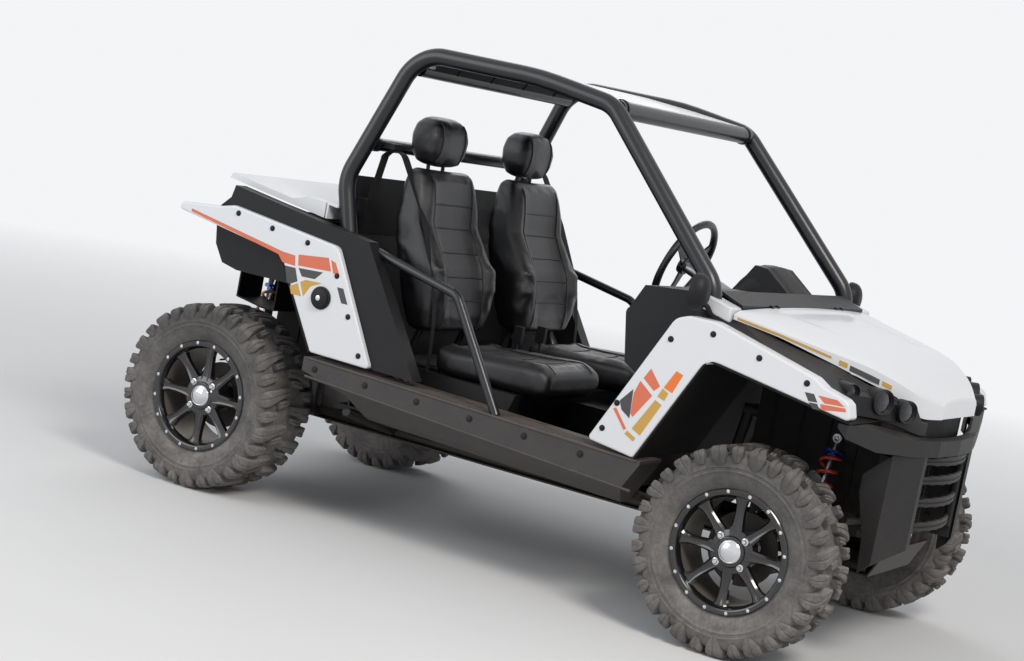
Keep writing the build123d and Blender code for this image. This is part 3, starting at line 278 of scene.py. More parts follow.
class Shape:
    """Points and faces gathered for one piece, each face with the number of its material."""

    def __init__(self, place=None):
        self.points, self.faces, self.marks = [], [], []
        self.place = place or Matrix.Identity(4)

    def add(self, points, faces, mark=0):
        start = len(self.points)
        self.points += [self.place @ Vector(p) for p in points]
        self.faces += [tuple(start + i for i in face) for face in faces]
        self.marks += [mark] * len(faces)

    def grid(self, rows, mark=0, around=True, closed=False, caps=False):
        """Faces between rows of equally many points. around joins each row's two ends, closed joins the
        last row to the first, and caps closes the first and last rows."""
        width, count = len(rows[0]), len(rows)
        faces = []
        for r in range(count if closed else count - 1):
            for c in range(width if around else width - 1):
                a, b, d = r * width, (r + 1) % count * width, (c + 1) % width
                faces.append((a + c, a + d, b + d, b + c))
        if caps:
            faces += [tuple(range(width))[::-1], tuple(range((count - 1) * width, count * width))]
        self.add([p for row in rows for p in row], faces, mark)

    def lathe(self, profile, sides, mark=0, caps=False, closed=False):
        """An outline of (y, radius) turned about the Y axis."""
        rows = [[at_turn(r, y, t) for t in turns(sides)] for y, r in profile]
        self.grid(rows, mark, caps=caps, closed=closed)

    def tube(self, points, radius, sides=16, mark=0, closed=False):
        """A round tube along points. The radius is one number, or one for each point."""
        points = [Vector(p) for p in points]
        radii = radius if isinstance(radius, list) else [radius] * len(points)
        ahead = points[1:] + ([points[0]] if closed else [points[-1] * 2 - points[-2]])
        behind = ([points[-1]] if closed else [points[0] * 2 - points[1]]) + points[:-1]
        normal, rows = None, []
        for here, before, after, r in zip(points, behind, ahead, radii):
            run = (after - before).normalized()
            side = run.orthogonal() if normal is None else normal - run * normal.dot(run)
            normal = side.normalized()
            other = run.cross(normal)
            rows.append([here + (normal * math.cos(t) + other * math.sin(t)) * r for t in turns(sides)])
        self.grid(rows, mark, closed=closed, caps=not closed)

    def ribbon(self, points, widths, thickness, mark=0):
        """A flat strap along points. widths is the vector across the strap, or one for each point."""
        points = [Vector(p) for p in points]
        widths = widths if isinstance(widths, list) else [widths] * len(points)
        rows = []
        for n, (here, across) in enumerate(zip(points, widths)):
            run = points[min(n + 1, len(points) - 1)] - points[max(n - 1, 0)]
            across = Vector(across) / 2
            up = run.cross(across).normalized() * thickness / 2
            rows.append([here - across - up, here + across - up, here + across + up, here - across + up])
        self.grid(rows, mark, caps=True)

    def slab(self, outline, low, high, mark=0):
        """A flat outline of (x, z) points, solid from low to high along Y."""
        self.grid([[(x, y, z) for x, z in outline] for y in (low, high)], mark, caps=True)

    def bolt(self, head, radius, mark=0, height=0.004):
        """A domed bolt head with six flats on a washer, facing -Y."""
        keep = self.place
        turn = Vector((0, -1, 0)).to_track_quat("Y", "Z").to_matrix().to_4x4()
        self.place = keep @ Matrix.Translation(Vector(head)) @ turn
        self.lathe([(-height, radius * 1.35), (height * 0.25, radius * 1.35), (height * 0.3, radius * 1.2)],
                   16, mark, caps=True)
        self.lathe([(0, radius), (height, radius), (height * 1.25, radius * 0.75)], 6, mark, caps=True)
        self.place = keep

    def mirror_in(self):
        """Adds the same again on the other side of the vehicle."""
        marks = list(self.marks)
        self.add([OTHER_SIDE @ p for p in self.points], [face[::-1] for face in self.faces])
        self.marks[-len(marks):] = marks

    def piece(self, name, materials, body, slot, replaces=(), sharp=35, bevel=0.0):
        """The finished object. It rides on a body and takes the materials given. The slot is not used."""
        mesh = bpy.data.meshes.new(name)
        flip = self.place.determinant() < 0
        mesh.from_pydata([tuple(p) for p in self.points], [], [f[::-1] if flip else f for f in self.faces])
        for material in materials:
            mesh.materials.append(material)
        for polygon, mark in zip(mesh.polygons, self.marks):
            polygon.material_index = mark
            polygon.use_smooth = True
        mesh.set_sharp_from_angle(angle=math.radians(sharp))
        obj = bpy.data.objects.new(name, mesh)
        bpy.context.collection.objects.link(obj)
        if bevel:
            round_edges(obj, bevel)
        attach(obj, body)
        if replaces:
            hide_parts(*replaces)
        return obj

    def pair(self, name, materials, slot, node="", sharp=35, bevel=0.0):
        """The finished object and its mirror image, both on the chassis. {} in node stands for the side."""
        other = Shape(OTHER_SIDE)
        other.add(self.points, self.faces)
        other.marks = list(self.marks)
        for shape, side in ((self, "right"), (other, "left")):
            replaces = [node.format(side)] if node else ()
            shape.piece(f"{name}_{side}", materials, "chassis", slot, replaces, sharp, bevel)


def rounded(points, radii, step=5):
    """Points along straight runs joined by arcs."""
    route = [Vector(points[0])]
    for before, corner, after, radius in zip(points, points[1:], points[2:], radii):
        corner = Vector(corner)
        back = (Vector(before) - corner).normalized()
        onward = (Vector(after) - corner).normalized()
        turn = math.pi - back.angle(onward)
        middle = corner + (back + onward).normalized() * (radius / math.cos(turn / 2))
        outward = (corner + back * radius * math.tan(turn / 2) - middle).normalized()
        steps = max(2, round(math.degrees(turn) / step))
        for n in range(steps + 1):
            angle = turn * n / steps
            route.append(middle + outward * radius * math.cos(angle) - back * radius * math.sin(angle))
    return route + [Vector(points[-1])]


def ease(value, low, high):
    """A soft step from 0 to 1 between low and high."""
    share = min(max((value - low) / (high - low), 0), 1)
    return share * share * (3 - 2 * share)


def signed_power(value, power):
    """The power of a value's size, with the value's sign."""
    return math.copysign(abs(value) ** power, value)


# Wheels: drawn like the right-hand ones, with the outer face towards -Y
WHEELS = ["front_right", "front_left", "rear_right", "rear_left"]
TYRE_R = 0.330
LUGS = 15
RING_R = 0.197
RIM_LIP = 0.008
RIM_HALF = {"front": 0.089, "rear": 0.108}
RIM_SIDES = 96
RING_BOLTS = 16
BOLT_CIRCLE = 0.1878
NUTS = 4
NUT_CIRCLE = 0.0585
HUB_IN = 0.040
SPOKES = 8
SPOKE_FACE = 0.026          # the spokes' face behind the rim's edge
SPOKE = [  # radius, half width, face, thickness
    (0.040, 0.024, -0.003, 0.030), (0.062, 0.0215, -0.002, 0.029), (0.090, 0.0170, 0.002, 0.026),
    (0.120, 0.0145, 0.003, 0.024), (0.145, 0.0150, 0.001, 0.024), (0.160, 0.0185, -0.003, 0.026),
    (0.1705, 0.026, -0.006, 0.030),
]
VALVE_TURN = 0.4
VALVE_R = (0.160, 0.157)    # the valve stem's foot and tip from the wheel's middle

LUG_PATH = [  # share of the half width, radius, sideways drift, width, height above the carcass
    (0.05, 0.3285, -0.018, 0.028, 0.030),
    (0.24, 0.3298, -0.015, 0.032, 0.030),
    (0.46, 0.3300, -0.009, 0.038, 0.030),
    (0.66, 0.3298, -0.003, 0.045, 0.030),
    (0.82, 0.3275, 0.002, 0.052, 0.028),
    (0.93, 0.3205, 0.006, 0.056, 0.026),
    (0.985, 0.3080, 0.008, 0.055, 0.020),
    (0.99, 0.2920, 0.010, 0.048, 0.013),
    (0.975, 0.2765, 0.011, 0.036, 0.010),
    (0.955, 0.2660, 0.012, 0.020, 0.008),
]
SIDE_LUG_PATH = [
    (0.56, 0.3265, 0.067, 0.026, 0.026),
    (0.74, 0.3270, 0.069, 0.032, 0.026),
    (0.86, 0.3240, 0.071, 0.038, 0.025),
    (0.945, 0.3170, 0.073, 0.040, 0.022),
    (0.982, 0.3040, 0.075, 0.037, 0.016),
    (0.982, 0.2900, 0.076, 0.028, 0.010),
    (0.968, 0.2800, 0.077, 0.016, 0.008),
]
INNER_LUG_PATH = [
    (0.10, 0.3280, 0.020, 0.018, 0.028),
    (0.20, 0.3290, 0.022, 0.021, 0.028),
    (0.36, 0.3290, 0.027, 0.022, 0.028),
    (0.50, 0.3280, 0.031, 0.020, 0.028),
]
LUG_SECTION = [  # share of the half width across a lug, and depth below its top
    (-1.12, 1.0), (-1.0, 0.12), (-0.82, 0.0), (-0.16, 0.0), (-0.09, 0.11),
    (0.09, 0.11), (0.16, 0.0), (0.82, 0.0), (1.0, 0.12), (1.12, 1.0),
]

SIDEWALL = [  # distance in from the tyre's side, radius
    (0.014, 0.221), (0.0075, 0.238), (0.006, 0.2475), (0.0045, 0.2490), (0.0045, 0.2515), (0.006, 0.253),
    (0.0065, 0.262), (0.0045, 0.2640), (0.006, 0.2665), (0.008, 0.280), (0.011, 0.293), (0.022, 0.3025),
]


def wheel_place(name):
    """The wheel's middle, with the outer face turned outwards, and half the tyre's width."""
    low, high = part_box("tyre_" + name)
    side = 1 if name.endswith("right") else -1
    return Matrix.Translation((low + high) / 2) @ Matrix.Diagonal((1, side, 1, 1)), (high.y - low.y) / 2


def lug_rows(path, half, turn, sign):
    """Rows of points across a lug from the tread's middle out over the shoulder."""
    line = [Vector((share * half, radius)) for share, radius, drift, width, height in path]
    rows = []
    for n, (share, radius, drift, width, height) in enumerate(path):
        run = line[min(n + 1, len(line) - 1)] - line[max(n - 1, 0)]
        outward = Vector((-run.y, run.x)).normalized()
        row = []
        for across, depth in LUG_SECTION:
            at = line[n] - outward * depth * height
            angle = turn + (drift + across * width / 2) / TYRE_R
            row.append((at.y * math.sin(angle), sign * at.x, at.y * math.cos(angle)))
        rows.append(row if sign > 0 else row[::-1])
    return rows


def tyre(name):
    """The carcass as a lathed ring, with three rows of lugs at each side of the tread's middle."""
    place, half = wheel_place(name)
    seat = RIM_HALF[name.split("_")[0]]
    shape = Shape(place)
    side = [(seat - 0.004, 0.1805), (seat + 0.001, 0.190), (seat + 0.002, 0.2005), (seat + 0.007, 0.2065)]
    side += [(half - inward, r) for inward, r in SIDEWALL] + [(half * 0.7, 0.306)]
    shape.lathe([(-y, r) for y, r in side] + [(0, 0.3075)] + side[::-1], 120, closed=True)
    width = len(LUG_SECTION)
    for n in range(LUGS):
        for sign, share in ((-1, 0.25), (1, 0.75)):
            for path in (LUG_PATH, INNER_LUG_PATH, SIDE_LUG_PATH):
                rows = lug_rows(path, half, (n + share) * math.tau / LUGS, sign)
                shape.grid(rows, around=False)
                shape.add(rows[0] + rows[-1], [tuple(range(width)), tuple(range(width, 2 * width))[::-1]])
    shape.piece("tread_" + name, [RUBBER], "wheel_" + name, "tyre", ["tyre_" + name], sharp=40)


def rim(name):
    """The bolted ring, barrel, spokes, hub with its cap and nuts, brake disc and valve."""
    shape = Shape(wheel_place(name)[0])
    black, metal, bright, brake = range(4)
    edge = RIM_HALF[name.split("_")[0]] + RIM_LIP
    shape.lathe([(-edge + 0.030, 0.169), (-edge + 0.002, 0.1765), (-edge, 0.1785), (-edge - 0.0015, 0.182),
                 (-edge - 0.0015, 0.1935), (-edge + 0.0015, RING_R), (-edge + 0.008, RING_R),
                 (-edge + 0.008, 0.181)], RIM_SIDES, black)
    shape.lathe([(-edge + 0.010, 0.1795), (-0.02, 0.172), (edge - 0.012, 0.178), (edge - 0.008, RING_R),
                 (edge, RING_R), (edge, 0.190), (edge - 0.010, 0.169), (0.02, 0.163),
                 (-edge + 0.028, 0.1685)], RIM_SIDES, metal)
    for turn in turns(RING_BOLTS, 0.5):
        shape.bolt(at_turn(BOLT_CIRCLE, -edge - 0.001, turn), 0.0042, bright, 0.003)
    face = -edge + SPOKE_FACE
    for angle in turns(SPOKES):
        turn = Matrix.Rotation(angle, 3, "Y")
        rows = []
        for r, w, y, t in SPOKE:
            half = [(w * 0.3, 0.0025), (w * 0.62, 0), (w, 0.006), (w, t)]
            section = [(-x, depth) for x, depth in half[::-1]] + half
            rows.append([turn @ Vector((x, face + y + depth, r)) for x, depth in section])
        shape.grid(rows, black, caps=True)
    shape.lathe([(HUB_IN, 0.046), (face + 0.012, 0.072), (face + 0.004, 0.072), (face + 0.001, 0.069),
                 (face - 0.003, 0.050), (face - 0.007, 0.047), (face - 0.0085, 0.040),
                 (face - 0.0085, 0.030)], 48, black)
    cap = face - 0.0085
    shape.lathe([(cap + 0.004, 0.038), (cap - 0.003, 0.038), (cap - 0.006, 0.0355), (cap - 0.0075, 0.0325),
                 (cap - 0.0072, 0.031), (cap - 0.011, 0.026), (cap - 0.014, 0.018), (cap - 0.0155, 0.008),
                 (cap - 0.0157, 0.0015)], 48, bright, caps=True)
    for turn in turns(NUTS, 0.5):
        shape.bolt(at_turn(NUT_CIRCLE, face - 0.001, turn), 0.0085, bright, 0.010)
    shape.lathe([(0.022, 0.062), (0.022, 0.118), (0.027, 0.118), (0.027, 0.062)], 72, brake, closed=True)
    foot, tip = VALVE_R
    shape.tube([at_turn(foot, face + 0.02, VALVE_TURN), at_turn(tip, -edge + 0.012, VALVE_TURN)],
               [0.004, 0.003], 10, black)
    shape.piece("wheel_disc_" + name, [WHEEL_BLACK, BARREL, CHROME, DARK_STEEL], "wheel_" + name, "rim_black",
                ["rim_" + name], sharp=30)


# Roll cage and handrails
CAGE_POINTS = [  # x, y, z, bend radius
    (REAR_X + 0.740, -0.600, 0.540, 0), (REAR_X + 0.430, -0.604, 0.960, 0.150),
    (REAR_X + 0.362, -0.600, 1.190, 0.150), (REAR_X + 0.545, -0.570, 1.663, 0.150),
    (REAR_X + 1.030, -0.567, 1.653, 0.900), (FRONT_X - 0.770, -0.564, 1.609, 0.120),
    (FRONT_X - 0.255, -0.603, 1.084, 0.120), (FRONT_X - 0.470, -0.603, 0.530, 0),
]
CAGE_R = 0.030
CROSSBARS = [  # x, z, radius, half length, and whether it has collars
    (FRONT_X - 0.764, 1.600, CAGE_R, 0.545, True), (REAR_X + 0.540, 1.612, CAGE_R, 0.545, False),
    (REAR_X + 0.420, 1.325, 0.0225, 0.575, True),
]
RAIL_R = 0.016
HIP_RAIL = [(REAR_X + 0.575, -0.642, 0.967), (REAR_X + 0.930, -0.672, 0.893), (REAR_X + 1.173, -0.698, 0.540)]
GRAB_RAIL = [(FRONT_X - 0.545, -0.440, 0.895), (FRONT_X - 0.630, -0.440, 0.950),
             (FRONT_X - 0.630, -0.060, 0.950), (FRONT_X - 0.545, -0.060, 0.895)]


def cage():
    """The side tubes and the crossbars, two of them with a collar at each end."""
    shape = Shape()
    shape.tube(rounded([p[:3] for p in CAGE_POINTS], [p[3] for p in CAGE_POINTS[1:-1]]), CAGE_R, 32)
    shape.pair("cage_tube", [CAGE], "frame_black", "cage_{}", sharp=60)
    bars = Shape()
    for x, z, radius, half, collared in CROSSBARS:
        bars.tube([(x, -half, z), (x, half, z)], radius, 32)
        for y in (-half + 0.03, half - 0.03) if collared else ():
            bars.tube([(x, y - 0.008, z), (x, y + 0.008, z)], radius + 0.004, 32)
    bars.piece("cage_cross_tubes", [CAGE], "chassis", "frame_black", ["cage_crossbars"], sharp=60)


def handrails():
    """A hip rail at each side and the passenger's grab bar with its grip."""
    shape = Shape()
    metal, grip = 0, 1
    for sign in (-1, 1):
        shape.tube([(p.x, p.y * -sign, p.z) for p in rounded(HIP_RAIL, [0.060])], RAIL_R, 24, metal)
    bar = rounded(GRAB_RAIL, [0.040, 0.040])
    shape.tube(bar, RAIL_R, 24, metal)
    straight = [p for p in bar if abs(p.x - GRAB_RAIL[1][0]) < 0.001]
    extra = Vector((0, 0.01, 0))
    shape.tube([straight[0] - extra, straight[-1] + extra], RAIL_R + 0.005, 24, grip)
    shape.piece("rails_round", [CAGE, VINYL], "chassis", "frame_black", ["handrails"], sharp=60)


# Suspension
COILOVERS = [  # foot and head of the front and the rear one
    ((FRONT_X + 0.092, -0.400, 0.292), (FRONT_X + 0.100, -0.235, 0.694)),
    ((REAR_X - 0.092, -0.395, 0.292), (REAR_X - 0.100, -0.235, 0.7627)),
]
DAMPER_R, ROD_R = 0.019, 0.0075
COIL_R, WIRE_R = 0.0305, 0.006
COIL_FOOT, COIL_HEAD = 0.048, 0.062         # from the foot and from the head
COLLAR_T = 0.008
SPRING_TURNS = 7
TURN_STEPS = 24
EYE_R, EYE_OUT, EYE_IN = 0.015, -0.016, (0.016, 0.045)     # the mounts' eyes, and how far they reach inwards


def coilovers():
    """Dampers with their coil springs, spring seats and mounts."""
    shape = Shape()
    steel, blue, first_spring = 0, 1, 2
    for number, ends in enumerate(COILOVERS):
        foot, head = Vector(ends[0]), Vector(ends[1])
        length, run = (head - foot).length, (head - foot).normalized()
        side = run.orthogonal().normalized()
        other = run.cross(side)
        shape.tube([foot, foot + run * length * 0.52], DAMPER_R, 24, steel)
        shape.tube([foot + run * length * 0.5, head], ROD_R, 16, steel)
        low, high = COIL_FOOT, length - COIL_HEAD
        for at, radius, mark in ((low - COLLAR_T, 0.036, steel), (high + 0.004, 0.036, blue),
                                 (high - COLLAR_T, 0.024, blue)):
            shape.tube([foot + run * at, foot + run * (at + COLLAR_T)], radius, 32, mark)
        steps = SPRING_TURNS * TURN_STEPS
        coil = []
        for n in range(steps + 1):
            turn = math.tau * n / TURN_STEPS
            at = low + (high - low) * n / steps
            coil.append(foot + run * at + (side * math.cos(turn) + other * math.sin(turn)) * COIL_R)
        shape.tube(coil, WIRE_R, 10, first_spring + number)
        for end, inner in zip((foot, head), EYE_IN):
            outer = end + Vector((0, EYE_OUT, 0))
            shape.tube([outer, end + Vector((0, inner, 0))], EYE_R, 20, steel)
            shape.bolt(outer, 0.008, steel, 0.006)
    shape.mirror_in()
    shape.piece("springs_and_dampers", [STEEL, COLLAR_BLUE, SPRING_RED, SPRING_COPPER], "chassis",
                "spring_red", ["coilovers"], sharp=45)


SHAFTS = [(FRONT_X, 0.545), (REAR_X, 0.525)]                # x, and y of the outer joint
SHAFT_IN_Y, SHAFT_IN_Z = 0.140, 0.352                       # the inner joint
CUP_Y, CUP_R = (0.1103, 0.150), 0.034
BOOTS = [(0.033, 0.018), (0.028, 0.017)]                    # wide and narrow end, inner and outer boot
PLEATS, PLEAT, PLEAT_WAVE = 9, 0.009, (0.004, -0.002)


def half_shafts():
    """Shafts with their pleated rubber boots."""
    shape = Shape()
    steel, rubber = 0, 1
    for x, pin_y in SHAFTS:
        for sign in (-1, 1):
            inner = Vector((x, sign * SHAFT_IN_Y, SHAFT_IN_Z))
            outer = Vector((x, sign * pin_y, TYRE_R))
            run = (outer - inner).normalized()
            shape.tube([(x, sign * y, SHAFT_IN_Z) for y in CUP_Y], CUP_R, 28, rubber)
            shape.tube([inner, outer], 0.013, 20, steel)
            for start, step, (wide, narrow) in zip((inner, outer), (run, -run), BOOTS):
                pleats = [start + step * (0.012 + PLEAT * n) for n in range(PLEATS)]
                radii = [wide + (narrow - wide) * n / (PLEATS - 1) + PLEAT_WAVE[n % 2] for n in range(PLEATS)]
                shape.tube(pleats, radii, 28, rubber)
            shape.tube([outer - run * 0.014, outer + run * 0.014], 0.0285, 24, steel)
    shape.piece("drive_shafts", [STEEL, BOOT], "chassis", "steel", ["half_shafts"], sharp=50)


# Seats
SEAT_Y = 0.325
CUSHION = [  # x from the rear axle, underside, top, half width, dip in the middle
    (0.796, 0.640, 0.690, 0.185, 0.000), (0.806, 0.608, 0.706, 0.205, 0.008),
    (0.860, 0.600, 0.700, 0.216, 0.020), (0.960, 0.600, 0.706, 0.218, 0.028),
    (1.070, 0.600, 0.712, 0.218, 0.028), (1.160, 0.600, 0.717, 0.217, 0.020),
    (1.215, 0.603, 0.716, 0.214, 0.010), (1.244, 0.612, 0.700, 0.206, 0.004),
    (1.256, 0.636, 0.676, 0.185, 0.000),
]
BACK = [  # z, rear and front face from the rear axle, half width, dip in the middle
    (0.722, 0.672, 0.752, 0.180, 0.000), (0.736, 0.648, 0.772, 0.200, 0.010),
    (0.800, 0.618, 0.786, 0.216, 0.040), (0.880, 0.582, 0.792, 0.218, 0.062),
    (0.950, 0.556, 0.776, 0.218, 0.066), (1.020, 0.538, 0.722, 0.216, 0.052),
    (1.090, 0.530, 0.668, 0.214, 0.030), (1.160, 0.529, 0.654, 0.208, 0.022),
    (1.220, 0.530, 0.636, 0.198, 0.014), (1.262, 0.534, 0.618, 0.184, 0.006),
    (1.280, 0.548, 0.600, 0.160, 0.000),
]
HEAD = [  # the same as for the back
    (1.288, 0.515, 0.575, 0.070, 0.000), (1.296, 0.497, 0.592, 0.098, 0.002),
    (1.335, 0.480, 0.605, 0.122, 0.006), (1.385, 0.474, 0.610, 0.125, 0.008),
    (1.425, 0.480, 0.600, 0.112, 0.004), (1.447, 0.497, 0.582, 0.086, 0.002),
    (1.456, 0.515, 0.562, 0.058, 0.000),
]
PAD_SIDES = 44

# Welts as (start, end, steps), from the rear axle and the seat's middle
CUSHION_WELTS = [((0.81, y, 0.7), (1.24, y, 0.7), 30) for y in (-0.135, 0.135)]
CUSHION_WELTS += [((x, -0.135, 0.7), (x, 0.135, 0.7), 20) for x in (0.90, 1.02, 1.14)]
BACK_WELTS = [((0.6, y, 0.74), (0.6, y, 1.25), 40) for y in (-0.128, 0.128)]
BACK_WELTS += [((0.6, -0.128, z), (0.6, 0.128, z), 20) for z in (0.84, 0.92, 1.00, 1.08, 1.16)]
HEAD_WELTS = [((0.5, y, 1.30), (0.5, y, 1.44), 20) for y in (-0.075, 0.075)]

SEAT_PARTS = [  # name, sections, upright, roundness, node, the welts' direction, and the welts
    ("cushion", CUSHION, False, 0.5, "seat_cushions", (0, 0, -1), CUSHION_WELTS),
    ("back", BACK, True, 0.5, "seat_backs", (-1, 0, 0), BACK_WELTS),
    ("head", HEAD, True, 0.62, "seat_backs", (-1, 0, 0), HEAD_WELTS),
]
SEAT_RODS = [  # y from the seat's middle, start and end as x from the rear axle and z, radius, sides
    (0.15, (0.66, 0.600), (0.70, 0.740), 0.012, 16), (0.15, (0.66, 0.604), (0.80, 0.604), 0.012, 16),
    (0.05, (0.545, 1.25), (0.54, 1.32), 0.007, 12),
]
VOXEL = 0.0075              # of the mesh that the padding is simulated on
PRESSURE = 4
PRESS_FRAMES = 20
PRESS_LIMIT = 0.008         # how far the pressure may move the cover
WELT_R = 0.0026


def pad(rows, y_middle, upright, roundness):
    """A closed padded form. An upright one has level sections, a flat one has cross sections."""
    shape = Shape()
    rings = []
    for at, low, high, half, dip in rows:
        ring = []
        for turn in turns(PAD_SIDES):
            across = half * signed_power(math.cos(turn), roundness)
            swell = signed_power(math.sin(turn), roundness * 0.84)
            depth = (low + high) / 2 + swell * (high - low) / 2
            if swell > 0:
                depth -= dip * swell * (1 - ease(abs(across) / half, 0.42, 0.86))
            y = y_middle + across
            ring.append((REAR_X + depth, y, at) if upright else (REAR_X + at, y, depth))
        rings.append(ring)
    shape.grid(rings, caps=True)
    return shape


def inflate(obj):
    """Presses a form out like a stuffed cover, in a short cloth simulation that is kept on the mesh."""
    remesh = obj.modifiers.new("remesh", "REMESH")
    remesh.mode = "VOXEL"
    remesh.voxel_size = VOXEL
    keep(obj)
    before = [v.co.copy() for v in obj.data.vertices]
    cloth = obj.modifiers.new("cloth", "CLOTH")
    cloth.settings.use_pressure = True
    cloth.settings.uniform_pressure_force = PRESSURE
    cloth.settings.effector_weights.gravity = 0
    scene = bpy.context.scene
    for number in range(1, PRESS_FRAMES + 1):
        scene.frame_set(number)
    keep(obj)
    scene.frame_set(1)
    for vertex, start in zip(obj.data.vertices, before):
        step = vertex.co - start
        if step.length > PRESS_LIMIT:
            vertex.co = start + step.normalized() * PRESS_LIMIT
    relax = obj.modifiers.new("relax", "SMOOTH")
    relax.factor = 0.5
    relax.iterations = 4
    keep(obj)
    for polygon in obj.data.polygons:
        polygon.use_smooth = True
    smooth = obj.modifiers.new("smooth", "SUBSURF")
    smooth.levels = smooth.render_levels = 1


def keep(obj):
    """Puts what the modifiers make into the mesh, and takes the modifiers off."""
    state = obj.evaluated_get(bpy.context.evaluated_depsgraph_get())
    mesh = bpy.data.meshes.new_from_object(state)
    materials = list(obj.data.materials)
    obj.modifiers.clear()
    obj.data = mesh
    mesh.materials.clear()
    for material in materials:
        mesh.materials.append(material)


def seam(shape, cover, start, end, steps, direction):
    """A raised welt over a cover, where a straight line drops on it in a direction."""
    direction = Vector(direction)
    landed = []
    for n in range(steps + 1):
        hit = cover.ray_cast(start.lerp(end, n / steps) - direction * 0.4, direction, 0.8)
        if hit[0] is not None:
            landed.append(hit[0] - direction * WELT_R * 0.35)
    if len(landed) > 2:
        shape.tube(landed, WELT_R, 8)


def seats():
    """Padded cushions, backs and headrests with their welts, and the brackets that hold them."""
    rods = Shape()
    for side, y in (("right", -SEAT_Y), ("left", SEAT_Y)):
        middle = Vector((REAR_X, y, 0))
        welts = Shape()
        for name, rows, upright, roundness, node, direction, lines in SEAT_PARTS:
            form = pad(rows, y, upright, roundness)
            obj = form.piece(f"seat_{name}_{side}", [VINYL], "chassis", "seat_black", [node])
            inflate(obj)
            cover = BVHTree.FromObject(obj, bpy.context.evaluated_depsgraph_get())
            for start, end, steps in lines:
                seam(welts, cover, middle + Vector(start), middle + Vector(end), steps, direction)
        welts.piece(f"seat_welts_{side}", [WELT], "chassis", "seat_black", sharp=60)
        for offset, start, end, radius, sides in SEAT_RODS:
            for across in (-offset, offset):
                rods.tube([(REAR_X + x, y + across, z) for x, z in (start, end)], radius, sides)
    rods.piece("seat_brackets", [CHASSIS], "chassis", "frame_black", sharp=60)


BELT_Y = 0.520
BELT_LINE = [  # x from the rear axle, share of BELT_Y, z
    (0.425, 1.0, 1.125), (0.452, 1.0, 1.290), (0.475, 1.0, 1.345), (0.530, 0.99, 1.300),
    (0.640, 0.985, 1.130), (0.745, 1.0, 0.920), (0.780, 1.03, 0.760), (0.790, 1.035, 0.640),
    (0.790, 1.035, 0.602),
]
BELT_WIDTH, BELT_LOW_WIDTH = 0.044, 0.020
BELT_LOW_Z = 0.8            # below this height the webbing is narrow
BELT_BLOCKS = [  # reel, guide and buckle: x from the rear axle and z of two corners, y of both sides
    (0.372, 1.062, 0.428, 1.128, 0.496, 0.544), (0.455, 1.318, 0.500, 1.338, 0.492, 0.548),
    (0.855, 0.715, 0.890, 0.775, 0.078, 0.096),
]
BUCKLE_STALK = [(0.885, 0.085, 0.600), (0.870, 0.088, 0.730)]


def belts():
    """The webbing laid over the harness bar, its reel and guide, and the buckle on a stalk."""
    shape = Shape()
    webbing, black = 0, 1
    for sign in (-1, 1):
        line = [(REAR_X + x, sign * BELT_Y * share, z) for x, share, z in BELT_LINE]
        path = rounded(line, [0.05] * (len(line) - 2))
        widths = [(0, BELT_LOW_WIDTH if p.z < BELT_LOW_Z else BELT_WIDTH, 0) for p in path]
        shape.ribbon(path, widths, 0.002, webbing)
        for low_x, low_z, high_x, high_z, near, far in BELT_BLOCKS:
            outline = rectangle(REAR_X + low_x, low_z, REAR_X + high_x, high_z)
            shape.slab(outline, *sorted((sign * near, sign * far)), black)
        shape.tube([(REAR_X + x, sign * y, z) for x, y, z in BUCKLE_STALK], 0.005, 10, black)
    shape.piece("belts", [WEBBING, BLACK], "chassis", "black_panel", sharp=40)


# Steering wheel
WHEEL_AT = Vector((FRONT_X - 0.810, 0.330, 1.097))
WHEEL_TILT = math.radians(20)
WHEEL_R = 0.172
GRIP_STEPS = 72
WHEEL_SPOKE = [  # radius, half width, height
    (0.024, 0.020, -0.004), (0.070, 0.015, -0.004), (0.120, 0.012, -0.001), (0.166, 0.014, 0.0),
]


def steering_wheel():
    """The waved grip, three flat spokes and the hub."""
    toward = Vector((-math.cos(WHEEL_TILT), 0, math.sin(WHEEL_TILT)))
    across = Vector((0, 1, 0))
    place = Matrix((across, toward, across.cross(toward))).transposed().to_4x4()
    place.translation = WHEEL_AT
    shape = Shape(place)
    grip, metal = 0, 1
    radii = [0.0137 + 0.0007 * math.cos(math.tau * n / 12) for n in range(GRIP_STEPS)]
    shape.tube([at_turn(WHEEL_R, 0, turn) for turn in turns(GRIP_STEPS)], radii, 16, grip, closed=True)
    for turn in turns(3):
        spin = Matrix.Rotation(turn, 3, "Y")
        rows = []
        for r, w, height in WHEEL_SPOKE:
            section = rectangle(-w, height - 0.004, w, height + 0.004)
            rows.append([spin @ Vector((x, y, -r)) for x, y in section])
        shape.grid(rows, metal, caps=True)
    shape.lathe([(-0.0149, 0.034), (0.004, 0.038), (0.011, 0.036), (0.0145, 0.028), (0.0149, 0.004)], 40,
                grip, caps=True)
    shape.piece("hand_wheel", [VINYL, CAGE], "steering", "black_panel", ["steering_wheel"], sharp=40)


# Lamps
LAMPS = [  # x from the front axle, y, z, radius, and how far the bezel stands out of the bucket
    (0.196, -0.575, 0.888, 0.027, 0.046), (0.282, -0.475, 0.868, 0.042, 0.022),
    (0.342, -0.382, 0.845, 0.038, 0.012),
]
LAMP_DEPTH = 0.033
LAMP_TURN = math.radians(30)
LAMP_AIM = Vector((math.cos(LAMP_TURN), -math.sin(LAMP_TURN), 0))
LAMP_SIDES = 48
DOME_STEPS = 8


def dome(edge, depth, radius, hole):
    """A shallow dome's outline of (y, radius), from its edge to the small hole in its middle."""
    shares = [n / DOME_STEPS for n in range(DOME_STEPS, -1, -1)]
    return [(edge + depth * (1 - share ** 2), radius * share + hole) for share in shares]


